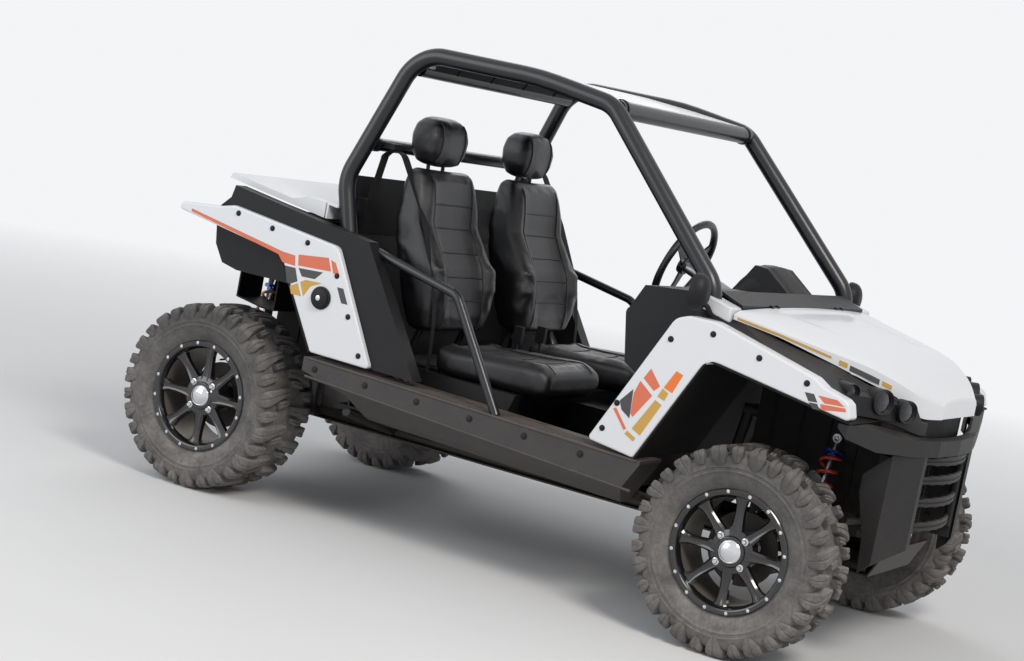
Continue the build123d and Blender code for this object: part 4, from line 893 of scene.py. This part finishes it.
def headlamps():
    """Three lamps at each side, each a bucket with its bezel, a bowl, a lens and a bulb."""
    shape = Shape()
    black, bowl, glass = range(3)
    for dx, y, z, radius, reach in LAMPS:
        mouth = Vector((FRONT_X + dx, y, z)) + LAMP_AIM * (0.007 + reach)
        turn = (-LAMP_AIM).to_track_quat("Y", "Z").to_matrix().to_4x4()
        shape.place = Matrix.Translation(mouth) @ turn
        bucket = [(LAMP_DEPTH + reach, radius * 0.95), (0.003, radius), (0.0, radius * 0.98),
                  (-0.001, radius * 0.93), (0.001, radius * 0.88), (0.014, radius * 0.82)]
        shape.lathe(bucket, LAMP_SIDES, black)
        shape.lathe(dome(0.014, 0.022, radius * 0.82, 0.0005), LAMP_SIDES, bowl, caps=True)
        lens = dome(0.011, -0.002, radius * 0.84, 0.0004)
        shape.lathe(lens + [(y + 0.0018, r) for y, r in lens[::-1]], LAMP_SIDES, glass, closed=True)
        shape.lathe([(0.036, 0.007), (0.022, 0.006), (0.019, 0.004)], 20, glass, caps=True)
    shape.place = Matrix.Identity(4)
    shape.pair("lamps", [BLACK, REFLECTOR, GLASS], "lamp", "headlamps", sharp=50)


TAIL_LAMP = (-0.522, 0.883, -0.398, 0.947)      # y and z of two corners of the bezel
TAIL_RIBS = 9


def tail_bezels():
    """A black bezel around each tail lamp, and the ribs of its lens."""
    shape = Shape()
    black, red = 0, 1
    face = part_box("tail_lamps")[0].x
    corners = [Vector((face + 0.004, y, z)) for y, z in rectangle(*TAIL_LAMP)]
    start = corners[0].lerp(corners[3], 0.5)
    shape.tube(rounded([start, *corners, start], [0.008] * 4), 0.005, 10, black)
    for n in range(TAIL_RIBS):
        shape.tube([(face - 0.0005, -0.508 + 0.012 * n, z) for z in (0.892, 0.938)], 0.0022, 8, red)
    shape.pair("tail_bezel", [BLACK, TAIL], "black_panel", sharp=50)


# Body panels: outlines as (x, z, corner radius) from an axle
EDGE_R = 0.007              # the moulded panels' rounded edge
EDGE_STEPS = 6
FLANGE_DEPTH = 0.060
PANEL_T = 0.006
FENDER_FRONT = [
    (-0.557, 0.553, 0.012), (-0.336, 0.994, 0.050), (-0.290, 1.011, 0.050), (-0.202, 1.011, 0.080),
    (0.154, 0.916, 0.030), (0.190, 0.893, 0.030), (0.261, 0.873, 0.012), (0.277, 0.861, 0.012),
    (0.292, 0.809, 0.012), (-0.203, 0.893, 0.060), (-0.386, 0.530, 0.012),
]
FENDER_REAR = [
    (-0.247, 0.964, 0.012), (-0.221, 0.991, 0.015), (-0.060, 1.004, 0.030), (0.000, 1.018, 0.030),
    (0.459, 0.961, 0.040), (0.673, 0.579, 0.012), (0.421, 0.584, 0.012), (0.233, 0.887, 0.060),
]


def filleted(outline, axle_x):
    """A closed outline of (x, z) points with each corner rounded."""
    corners = [Vector((axle_x + x, z, 0)) for x, z, _ in outline]
    made = []
    for n, (_, _, radius) in enumerate(outline):
        arc = rounded([corners[n - 1], corners[n], corners[(n + 1) % len(corners)]], [radius], 8)
        made += [p.xy for p in arc[1:-1]]
    area = sum(a.cross(b) for a, b in zip(made, made[1:] + made[:1]))
    return made if area > 0 else made[::-1]


def shrunk(outline, distance):
    """The outline moved inwards. It runs anticlockwise."""
    made = []
    for before, here, after in zip(outline[-1:] + outline[:-1], outline, outline[1:] + outline[:1]):
        run_in, run_out = (here - before).normalized(), (after - here).normalized()
        normal = Vector((-run_in.y - run_out.y, run_in.x + run_out.x)).normalized()
        made.append(here + normal * distance / max(normal.dot((-run_in.y, run_in.x)), 0.5))
    return made


def moulded(shape, outline, face_y, depth):
    """A dished panel: a flat face, a rounded edge, and a flange turned in all round."""
    rows = [(EDGE_R + 0.001, face_y)]
    for n in range(EDGE_STEPS + 1):
        angle = math.pi / 2 * n / EDGE_STEPS
        rows.append((EDGE_R * (1 - math.sin(angle)), face_y + EDGE_R * (1 - math.cos(angle))))
    rows += [(0, face_y + depth), (PANEL_T, face_y + depth), (PANEL_T, face_y + PANEL_T)]
    shape.grid([[(p.x, y, p.y) for p in shrunk(outline, inward)] for inward, y in rows], caps=True)


def fenders():
    for name, outline, axle_x in (("front", FENDER_FRONT, FRONT_X), ("rear", FENDER_REAR, REAR_X)):
        shape = Shape()
        moulded(shape, filleted(outline, axle_x), -BODY_Y, FLANGE_DEPTH)
        shape.pair("fender_" + name, [WHITE], "white_panel", "fenders_" + name)


HOOD = [  # from the front axle: x, half width, edge z, shoulder z, crown z
    (-0.182, 0.628, 1.024, 1.050, 1.066), (-0.043, 0.566, 0.997, 1.022, 1.050),
    (0.137, 0.495, 0.945, 0.988, 1.020), (0.229, 0.434, 0.911, 0.968, 0.998),
    (0.321, 0.339, 0.876, 0.925, 0.950), (0.346, 0.308, 0.815, 0.905, 0.925),
    (0.398, 0.180, 0.824, 0.880, 0.895),
]
HOOD_ROWS = 72
HOOD_HALF_STEPS = 30        # across half the hood
HOOD_SOFTEN = 14            # times that the rows are evened out along the hood
HOOD_T = 0.005
HOOD_CREASE = 0.006         # how deep the middle field lies
HOOD_ROLL = 0.014           # from the shoulder down to the skirt
NOSE_STEPS = 3              # of the rounded nose
STRIPE_STEPS = 24
HOOD_STRIPES = [  # colour (0 mustard, 1 grey), from x, to x, share of the skirt's height, width
    (0, -0.170, 0.115, 0.62, 0.0075), (0, 0.140, 0.163, 0.50, 0.014), (1, 0.170, 0.252, 0.40, 0.017),
    (0, 0.259, 0.284, 0.45, 0.014),
]


def between(table, at):
    """The table's row at a place along its first column."""
    for low, high in zip(table, table[1:]):
        if at <= high[0]:
            share = (at - low[0]) / (high[0] - low[0])
            return [a + (b - a) * share for a, b in zip(low, high)]
    return list(table[-1])


def hood_rows():
    """The hood's sizes at even steps, evened out so that the facets become curves."""
    start, end = HOOD[0][0], HOOD[-1][0]
    rows = [between(HOOD, start + (end - start) * n / HOOD_ROWS) for n in range(HOOD_ROWS + 1)]
    for _ in range(HOOD_SOFTEN):
        middle = [[(a + 2 * b + c) / 4 for a, b, c in zip(*three)] for three in zip(rows, rows[1:], rows[2:])]
        rows = [rows[0]] + middle + [rows[-1]]
    return rows


def hood_section(row, inset):
    """A row of points across the hood, from skirt to skirt, the inset inside its outer face."""
    dx, half, edge, shoulder, crown = row
    half -= inset
    points = []
    for n in range(-HOOD_HALF_STEPS, HOOD_HALF_STEPS + 1):
        share = n / HOOD_HALF_STEPS
        y = half * share
        z = shoulder + (crown - shoulder) * (1 - abs(share) ** 2.2)
        field = 1 - ease(abs(y), half * 0.50, half * 0.56)
        z -= HOOD_CREASE * field * ease(dx, -0.165, -0.135) * (1 - ease(dx, 0.12, 0.20))
        z -= 0.010 * ease(abs(share), 0.93, 1.0)
        points.append((FRONT_X + dx, y, z - inset))
    skirt = [(FRONT_X + dx, half, z) for z in (shoulder - HOOD_ROLL - inset, edge + 0.002, edge)]
    return [(x, -y, z) for x, y, z in skirt[::-1]] + points + skirt


def hood():
    """The shell with its skirts and rounded nose, and the stripes along the skirts."""
    rows = hood_rows()
    outer = [hood_section(row, 0) for row in rows]
    nose_x, half, edge, shoulder, crown = rows[-1]
    for step in range(1, NOSE_STEPS + 1):
        angle = math.pi / 2 * step / NOSE_STEPS
        back = 0.010 * (1 - math.cos(angle))
        outer.append(hood_section([nose_x + 0.006 * math.sin(angle), half - back, edge + back * 0.3,
                                   shoulder - back, crown - back], 0))
    inner = [hood_section(row, HOOD_T) for row in rows[:-1]]
    shape = Shape()
    width, count = len(outer[0]), len(inner)
    shape.grid(outer, around=False)
    shape.grid(inner[::-1], around=False)
    shape.add(outer[-1], [tuple(range(width))[::-1]])
    shape.add(outer[0] + inner[0], [(n, n + 1, width + n + 1, width + n) for n in range(width - 1)])
    faces = [(n, n + 1, count + n + 1, count + n) for n in range(count - 1)]
    for end in (0, width - 1):
        strip = [row[end] for row in outer[:count] + inner]
        shape.add(strip, faces if end else [f[::-1] for f in faces])
    shape.piece("hood_shell", [WHITE], "hood", "white_panel", ["hood"], sharp=32)
    trim = Shape()
    for sign in (-1, 1):
        for mark, low, high, share, height in HOOD_STRIPES:
            path = []
            for n in range(STRIPE_STEPS + 1):
                dx, half, edge, shoulder, crown = between(HOOD, low + (high - low) * n / STRIPE_STEPS)
                z = edge + (shoulder - HOOD_ROLL - edge) * share
                path.append((FRONT_X + dx, sign * (half + 0.0008), z))
            trim.ribbon(path, (0, 0, height), 0.0012, mark)
    trim.piece("hood_stripes", [MUSTARD, GREY], "hood", "white_panel")


# Front trim
SLATS = [(0.688, 0.430), (0.624, 0.426), (0.548, 0.420), (0.467, 0.414)]     # z, reach from the front axle
SLAT_HALF = 0.213
SLAT_BACK = 0.034
SLAT_STEPS = 24             # along half a slat
SLAT_SECTION = [  # depth behind the front, share of half the height
    (0.0040, -1.0), (0.0008, -0.80), (0.0, -0.50), (0.0010, -0.22), (0.0050, -0.12), (0.0050, 0.12),
    (0.0010, 0.22), (0.0, 0.50), (0.0008, 0.80), (0.0040, 1.0), (0.0130, 1.0), (0.0158, 0.75),
    (0.0158, -0.75), (0.0130, -1.0),
]
POST_X, POST_Y = FRONT_X + 0.382, 0.2077
POST_ENDS = (0.440, 0.704)
FINS, FIN_INSET = 30, 0.012


def grille():
    """Four bowed slats on two posts, and the radiator's fins behind them."""
    shape = Shape()
    for z, reach in SLATS:
        rows = []
        for n in range(-SLAT_STEPS, SLAT_STEPS + 1):
            out = n / SLAT_STEPS
            half = 0.0155 - 0.0035 * out ** 2 + 0.0012 * math.cos(math.tau * n / 8)
            front = FRONT_X + reach - SLAT_BACK * out ** 2
            rows.append([(front - depth, SLAT_HALF * out, z + share * half) for depth, share in SLAT_SECTION])
        shape.grid(rows, caps=True)
    for y in (-POST_Y, POST_Y):
        outline = [(POST_X + 0.010 * signed_power(math.sin(t), 0.5),
                    y + 0.006 * signed_power(math.cos(t), 0.5)) for t in turns(24)]
        shape.grid([[(x, across, z) for x, across in outline] for z in POST_ENDS], caps=True)
    shape.piece("grille_slats", [SHIELD_BLACK], "chassis", "black_panel", ["grille"], sharp=50)
    fins = Shape()
    low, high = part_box("radiator")
    for n in range(FINS):
        z = low.z + FIN_INSET + (high.z - low.z - 2 * FIN_INSET) * n / (FINS - 1)
        fins.slab([(high.x, z), (high.x + 0.003, z + 0.0008), (high.x + 0.003, z + 0.0016),
                   (high.x, z + 0.0024)], low.y + FIN_INSET, high.y - FIN_INSET)
    for y in (-0.12, -0.04, 0.04, 0.12):
        fins.tube([(high.x + 0.0015, y, z) for z in (low.z + 0.005, high.z - 0.005)], 0.002, 8)
    fins.piece("radiator_fins", [DARK_STEEL], "chassis", "steel")


MIRROR_AT = Vector((FRONT_X - 0.287, -0.698, 1.088))
MIRROR_SIDES = 40
MIRROR_RINGS = [  # x from the middle, share of the full size, from the dome's middle to the glass
    (0.036, 0.28), (0.034, 0.50), (0.028, 0.72), (0.019, 0.88), (0.008, 0.97), (-0.003, 1.0), (-0.0125, 0.99),
    (-0.013, 0.93), (-0.011, 0.90),
]
MIRROR_STALK = [(FRONT_X - 0.246, -0.638, 1.010), (FRONT_X - 0.262, -0.665, 1.048),
                (FRONT_X - 0.289, -0.689, 1.062)]


def mirrors():
    """Domed mirror heads, each with its glass and stalk."""
    shape = Shape()
    black, glass = 0, 1
    rows = [[MIRROR_AT + Vector((x, 0.046 * size * math.cos(t), 0.060 * size * math.sin(t)))
             for t in turns(MIRROR_SIDES)] for x, size in MIRROR_RINGS]
    whole = tuple(range(MIRROR_SIDES))
    shape.grid(rows, black)
    shape.add(rows[0], [whole[::-1]], black)
    shape.add(rows[-1], [whole], glass)
    shape.tube(rounded(MIRROR_STALK, [0.02]), 0.0085, 16, black)
    shape.pair("mirror", [BLACK, REFLECTOR], "black_panel", "mirrors", sharp=50)


# Cabin trim
# The lining's line as x from the rear axle and z; its first run, down the roof's white rear lip, is painted
# shade.
LINING_WITH_LIP_SHADE = [(0.5815, 1.6105), (0.6125, 1.6590), (0.890, 1.6508), (1.090, 1.6328), (1.286, 1.6094)]    # x, z


def headliner_with_lip_shade():
    """The black lining below the roof panel, with its stiffening ribs; down the roof's rear lip it is painted
    shade.
    """
    shape = Shape()
    line = [Vector((REAR_X + x, 0, z)) for x, z in LINING_WITH_LIP_SHADE]
    shape.ribbon(line, (0, 1.030, 0), 0.0016)
    for y in (-0.36, -0.12, 0.12, 0.36):
        shape.tube([p + Vector((0, y, -0.001)) for p in line], 0.004, 10)
    shape.piece("headliner_with_lip_shade", [LINER_BLACK], "chassis", "black_panel", sharp=50)


POD = [  # from the front axle: x, top z, half width
    (-0.566, 1.052, 0.118), (-0.540, 1.100, 0.119), (-0.505, 1.146, 0.119), (-0.482, 1.160, 0.118),
    (-0.440, 1.158, 0.114), (-0.390, 1.120, 0.108), (-0.330, 1.078, 0.100),
]
POD_LOW = 1.030
POD_STEPS = 32
DIAL_SLOPE = Vector((-0.118, 0, 0.076))
DIAL_SIDES = 40
DIALS = [(0.330, 1.090, 0.042), (0.265, 1.074, 0.020), (0.395, 1.074, 0.020)]       # y, z, radius


def instrument_pod():
    """A padded hood over the dials, which face the driver."""
    shape = Shape()
    black, dial, needle = range(3)
    rows = []
    for x, top, half in POD:
        row = []
        for n in range(POD_STEPS + 1):
            t = math.pi * n / POD_STEPS
            row.append((FRONT_X + x, WHEEL_AT.y + (half + 0.006) * signed_power(math.cos(t), 0.45),
                        POD_LOW + (top + 0.003 - POD_LOW) * math.sin(t) ** 0.5))
        rows.append(row)
    shape.grid(rows, black, around=False)
    end = tuple(range(POD_STEPS + 1))
    shape.add(rows[0], [end], black)
    shape.add(rows[-1], [end[::-1]], black)
    face_x, face_z, _ = POD[0]
    turn = DIAL_SLOPE.to_track_quat("Y", "Z").to_matrix().to_4x4()
    for y, z, radius in DIALS:
        shape.place = Matrix.Translation((FRONT_X + face_x + (z - face_z) * 0.62, y, z)) @ turn
        shape.lathe([(-0.004, radius * 1.08), (0.004, radius * 1.08), (0.004, radius)], DIAL_SIDES, black)
        shape.lathe([(0.0035, radius), (0.003, radius * 0.5), (0.003, 0.001)], DIAL_SIDES, dial, caps=True)
        shape.grid([[(-0.001, 0.0045, 0), (0.001, 0.0045, 0)],
                    [(0.0006, 0.0045, radius * 0.8), (0.0010, 0.0045, radius * 0.8)]], needle, around=False)
    shape.place = Matrix.Identity(4)
    shape.piece("instrument_pod", [BLACK, DIAL, SALMON], "chassis", "black_panel", sharp=40)


# Arches, corners and sills
WING_Y = -0.2125            # the front sheet's inner face and the rear sheet's outer face
WING_RIBS = 4
WING_PITCH = 0.10
HOOD_CORNER = [  # x from the front axle, z
    (-0.306, 1.040), (-0.187, 1.010), (-0.187, 1.058), (-0.306, 1.090),
]


def inner_wings():
    """Dark ribbed sheets that close the wheel arches off from the frame."""
    shape = Shape()
    shape.slab([(FRONT_X - 0.200, 0.462), (FRONT_X + 0.240, 0.462), (FRONT_X + 0.240, 0.811),
                (FRONT_X - 0.200, 0.886)], WING_Y - 0.0035, WING_Y)
    shape.slab(rectangle(REAR_X - 0.090, 0.470, REAR_X + 0.405, 0.776), WING_Y, WING_Y + 0.0035)
    for first_x, y, low, high in ((FRONT_X - 0.14, WING_Y - 0.004, 0.480, 0.800),
                                  (REAR_X + 0.02, WING_Y - 0.0005, 0.490, 0.760)):
        for n in range(WING_RIBS):
            shape.tube([(first_x + WING_PITCH * n, y, z) for z in (low, high)], 0.004, 10)
    shape.pair("inner_wing", [LINER_BLACK], "black_panel", sharp=50)


def hood_corners():
    """The deep white caps at the hood's rear corners."""
    shape = Shape()
    shape.slab([(FRONT_X + x, z) for x, z in HOOD_CORNER], -0.645, -0.5605)
    shape.pair("hood_corner", [WHITE], "white_panel", "cowl_corners", bevel=0.006)


SILL_TOP = (0.566, 0.525)           # height of the sill's top at its rear and its front end
SILL_BAND = (0.066, 0.100)          # depth of the lower lip below it, likewise


def sill_ridges():
    """The raised lips along a sill, and the treads on its top."""
    shape = Shape()
    low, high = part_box("sills")
    ends = list(zip((low.x + 0.015, high.x - 0.015), SILL_TOP, SILL_BAND))
    shape.tube([(x, -BODY_Y + 0.004, top - 0.004) for x, top, _ in ends], 0.006, 12)
    shape.tube([(x, -BODY_Y + 0.003, top - band) for x, top, band in ends], 0.005, 12)
    for y in (-0.69, -0.67, -0.65, -0.63):
        shape.tube([(x, y, top + 0.0008) for x, top, _ in ends], 0.003, 8)
    shape.pair("sill_lips", [SILL_BLACK], "black_panel", sharp=60)


# Nose
LAMP_FRAME = [  # the surround's outer edge from the front axle: x, y, top z, bottom z
    (0.160, -0.640, 0.912, 0.842), (0.220, -0.592, 0.897, 0.815), (0.262, -0.530, 0.892, 0.806),
    (0.310, -0.452, 0.884, 0.802), (0.348, -0.380, 0.872, 0.787), (0.372, -0.330, 0.850, 0.774),
    (0.382, -0.300, 0.816, 0.768), (0.392, -0.262, 0.812, 0.767),
]


def lamp_surround():
    """The black panel that the lamps look out of, below the hood's edge."""
    shape = Shape()
    rows = []
    for dx, y, top, bottom in LAMP_FRAME:
        section = [(0.028, top), (0.022, top + 0.001), (0.018, top - 0.004), (0.020, bottom + 0.004),
                   (0.026, bottom), (0.032, bottom)]
        rows.append([(FRONT_X + dx - inward * 0.5, y + inward * 0.85, z) for inward, z in section])
    shape.grid(rows, caps=True)
    shape.pair("lamp_surround", [SHIELD_BLACK], "black_panel", sharp=40)


NOSE_PANEL = [  # x from the front axle, y
    (0.160, -0.343), (0.322, -0.318), (0.356, -0.180), (0.363, 0.0), (0.356, 0.180), (0.322, 0.318),
    (0.160, 0.343),
]
NOSE_WING = [(0.350, 0.285), (0.338, 0.345), (0.295, 0.440)]


def nose_panel():
    """The black panel with two beads behind the gap between the hood's nose and the bumper, and its wings."""
    shape = Shape()
    line = rounded([(FRONT_X + x, y, 0.772) for x, y in NOSE_PANEL], [0.10, 0.20, 0.20, 0.20, 0.10], 8)
    shape.ribbon(line, (0, 0, 0.140), 0.003)
    for z in (0.815, 0.829):
        shape.tube([(p.x + 0.002, p.y, z) for p in line], 0.0035, 8)
    for sign in (-1, 1):
        shape.ribbon([(FRONT_X + x, sign * y, 0.770) for x, y in NOSE_WING], (0, 0, 0.064), 0.003)
    shape.piece("nose_panel", [LINER_BLACK], "chassis", "black_panel", sharp=50)


ENGINE_FINS = 9
MUFFLER_X, MUFFLER_Y, MUFFLER_Z = REAR_X + 0.20, 0.165, 0.400
CAP_BOLTS = 8


def engine_trim():
    """Fins on the engine block, and the muffler's end caps."""
    shape = Shape()
    for n in range(ENGINE_FINS):
        z = 0.430 + 0.026 * n
        shape.slab(rectangle(REAR_X + 0.10, z, REAR_X + 0.39, z + 0.008), -0.178, 0.178)
    for sign in (1, -1):
        end = Matrix.Translation((MUFFLER_X, -sign * MUFFLER_Y, MUFFLER_Z))
        shape.place = end @ Matrix.Diagonal((1, sign, 1, 1))
        shape.lathe([(0.004, 0.098), (-0.022, 0.095), (-0.027, 0.088), (-0.029, 0.050), (-0.033, 0.045),
                     (-0.033, 0.006)], 48, caps=True)
        for turn in turns(CAP_BOLTS):
            shape.bolt(at_turn(0.082, -0.026, turn), 0.005)
    shape.place = Matrix.Identity(4)
    shape.piece("engine_fins", [CAST], "chassis", "cast_metal", sharp=40)


# Decals on the fenders: blocks of colour (0 salmon, 1 mustard, 2 grey, 3 orange), x and z in metres
DECALS_REAR = [
    (0, [(-1.270, 0.972), (-1.270, 0.962), (-0.868, 0.888), (-0.845, 0.864), (-0.790, 0.862), (-0.797, 0.897),
         (-0.850, 0.900)]),
    (0, [(-0.784, 0.903), (-0.659, 0.917), (-0.640, 0.873), (-0.778, 0.866)]),
    (0, [(-0.648, 0.912), (-0.628, 0.906), (-0.604, 0.868), (-0.630, 0.868)]),
    (2, [(-0.832, 0.855), (-0.787, 0.855), (-0.769, 0.812), (-0.797, 0.797), (-0.812, 0.800)]),
    (2, [(-0.774, 0.858), (-0.672, 0.863), (-0.700, 0.834), (-0.755, 0.832)]),
    (1, [(-0.797, 0.790), (-0.766, 0.806), (-0.744, 0.765), (-0.786, 0.764)]),
    (1, [(-0.757, 0.812), (-0.736, 0.824), (-0.668, 0.826), (-0.712, 0.806), (-0.735, 0.766)]),
    (2, [(-0.604, 0.826), (-0.578, 0.826), (-0.550, 0.776), (-0.576, 0.776)]),
]
DECALS_FRONT = [
    (3, [(0.695, 0.833), (0.720, 0.825), (0.695, 0.762), (0.663, 0.772)]),
    (0, [(0.608, 0.821), (0.650, 0.773), (0.632, 0.754), (0.589, 0.786)]),
    (0, [(0.580, 0.775), (0.630, 0.738), (0.578, 0.657), (0.568, 0.667), (0.566, 0.732)]),
    (1, [(0.660, 0.769), (0.683, 0.758), (0.674, 0.732), (0.648, 0.740)]),
    (1, [(0.643, 0.728), (0.668, 0.717), (0.615, 0.606), (0.583, 0.621)]),
    (2, [(0.523, 0.698), (0.562, 0.744), (0.568, 0.650), (0.535, 0.671)]),
    (0, [(0.506, 0.668), (0.516, 0.673), (0.564, 0.616), (0.557, 0.609)]),
    (1, [(0.569, 0.611), (0.602, 0.594), (0.596, 0.582), (0.562, 0.599)]),
    (2, [(1.122, 0.867), (1.152, 0.868), (1.168, 0.845), (1.139, 0.843)]),
    (2, [(1.140, 0.840), (1.168, 0.841), (1.181, 0.824), (1.158, 0.823)]),
    (0, [(1.166, 0.867), (1.228, 0.867), (1.255, 0.852), (1.190, 0.848)]),
    (0, [(1.178, 0.843), (1.258, 0.848), (1.262, 0.838), (1.184, 0.826)]),
]
FENDER_BOLTS = [  # x, z
    (-1.066, 0.994), (-0.912, 0.970), (-0.756, 0.950), (-0.613, 0.863), (-0.539, 0.736), (-0.470, 0.615),
    (0.791, 0.972), (0.956, 0.934), (1.123, 0.894), (0.654, 0.926), (0.481, 0.598), (0.515, 0.688),
]
FUEL_CAP = (-0.661, 0.776)
SILL_BOLTS = [0.04, 0.20, 0.36, 0.52, 0.68, 0.84]       # share of the sill's length


def decals():
    shape = Shape()
    for mark, outline in DECALS_REAR + DECALS_FRONT:
        shape.slab(outline, -BODY_Y - 0.0007, -BODY_Y - 0.0002, mark)
    shape.pair("decals", [SALMON, MUSTARD, GREY, ORANGE], "white_panel")


def fasteners():
    """Bolts along the fenders and the sills, and the fuel cap."""
    shape = Shape()
    black, bright = 0, 1
    for x, z in FENDER_BOLTS:
        shape.bolt((x, -BODY_Y, z), 0.0075, black, 0.004)
    low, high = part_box("sills")
    rear_top, front_top = SILL_TOP
    for share in SILL_BOLTS:
        x = low.x + (high.x - low.x) * share
        shape.bolt((x, -BODY_Y, rear_top + (front_top - rear_top) * share - 0.034), 0.009, black, 0.003)
    shape.place = Matrix.Translation((FUEL_CAP[0], -BODY_Y, FUEL_CAP[1]))
    shape.lathe([(0.004, 0.040), (-0.004, 0.040), (-0.006, 0.036), (-0.006, 0.033)], 40, black)
    shape.lathe([(-0.002, 0.034), (-0.014, 0.032), (-0.014, 0.0308), (-0.014, 0.032), (-0.017, 0.026),
                 (-0.018, 0.010)], 40, black, caps=True)
    shape.lathe([(-0.014, 0.010), (-0.021, 0.009), (-0.022, 0.006)], 24, bright, caps=True)
    shape.place = Matrix.Identity(4)
    shape.pair("fasteners", [BLACK, CHROME], "black_panel", sharp=40)


# Floor, world and lights
LIGHTS = [  # name, place, size, energy, colour
    ("key", (4.5, -3.5, 5.5), 2.2, 260, (1.0, 0.97, 0.93)),
    ("fill", (-3.5, -5.0, 3.0), 4.0, 120, (0.94, 0.97, 1.0)),
    ("back", (-2.5, 4.5, 4.5), 3.0, 45, (1.0, 1.0, 1.0)),
]


def add_floor():
    """A pale floor that fades out away from the vehicle."""
    bpy.ops.mesh.primitive_plane_add(size=60, location=(0, 0, 0))
    floor = bpy.context.object
    floor.name = "floor"
    n = Nodes("floor_pale")
    n.put("Base Color", n.mix(n.noise(1.5), (0.78, 0.77, 0.76), (0.82, 0.81, 0.80)))
    n.put("Roughness", 0.9)
    away = n.add("ShaderNodeVectorMath", operation="LENGTH")
    n.join(n.place, away.inputs[0])
    choose = n.add("ShaderNodeMixShader")
    n.join(n.ramp(away.outputs["Value"], 2.6, 9.0), choose.inputs["Fac"])
    n.join(n.shader.outputs["BSDF"], choose.inputs[1])
    n.join(n.add("ShaderNodeBsdfTransparent").outputs["BSDF"], choose.inputs[2])
    n.join(choose.outputs["Shader"], n.tree.nodes["Material Output"].inputs["Surface"])
    dress(floor, n.material)


def add_world():
    """A dim sky for the light, and a bright one where it is seen, also in gloss or through glass."""
    world = bpy.context.scene.world or bpy.data.worlds.new("world")
    bpy.context.scene.world = world
    world.use_nodes = True
    tree = world.node_tree
    dim = tree.nodes["Background"]
    dim.inputs["Color"].default_value = (0.90, 0.94, 1.0, 1)
    dim.inputs["Strength"].default_value = 0.45
    bright = tree.nodes.new("ShaderNodeBackground")
    bright.inputs["Color"].default_value = (0.90, 0.91, 0.93, 1)
    rays = tree.nodes.new("ShaderNodeLightPath").outputs
    seen = rays["Is Camera Ray"]
    for kind in ("Is Transmission Ray", "Is Glossy Ray"):
        either = tree.nodes.new("ShaderNodeMath")
        either.operation = "MAXIMUM"
        tree.links.new(seen, either.inputs[0])
        tree.links.new(rays[kind], either.inputs[1])
        seen = either.outputs["Value"]
    choose = tree.nodes.new("ShaderNodeMixShader")
    tree.links.new(seen, choose.inputs["Fac"])
    tree.links.new(dim.outputs["Background"], choose.inputs[1])
    tree.links.new(bright.outputs["Background"], choose.inputs[2])
    tree.links.new(choose.outputs["Shader"], tree.nodes["World Output"].inputs["Surface"])


def add_lights():
    for name, place, size, energy, color in LIGHTS:
        lamp = bpy.data.objects.new(name, bpy.data.lights.new(name, "AREA"))
        lamp.data.size = size
        lamp.data.energy = energy
        lamp.data.color = color
        lamp.location = place
        lamp.rotation_euler = (Vector((0, 0, 0.8)) - Vector(place)).to_track_quat("-Z", "Y").to_euler()
        bpy.context.collection.objects.link(lamp)
    bpy.context.scene.view_settings.view_transform = "Standard"


add_camera()
add_floor()
add_world()
add_lights()
for material, edges in NODE_FINISH.items():
    for name, edge in edges.items():
        dress(nodes[name], material, edge)
for name in WHEELS:
    tyre(name)
    rim(name)
cage()
handrails()
coilovers()
half_shafts()
seats()
belts()
steering_wheel()
headlamps()
tail_bezels()
nose_panel()
lamp_surround()
fenders()
hood()
grille()
mirrors()
headliner_with_lip_shade()
instrument_pod()
inner_wings()
hood_corners()
sill_ridges()
engine_trim()
decals()
fasteners()
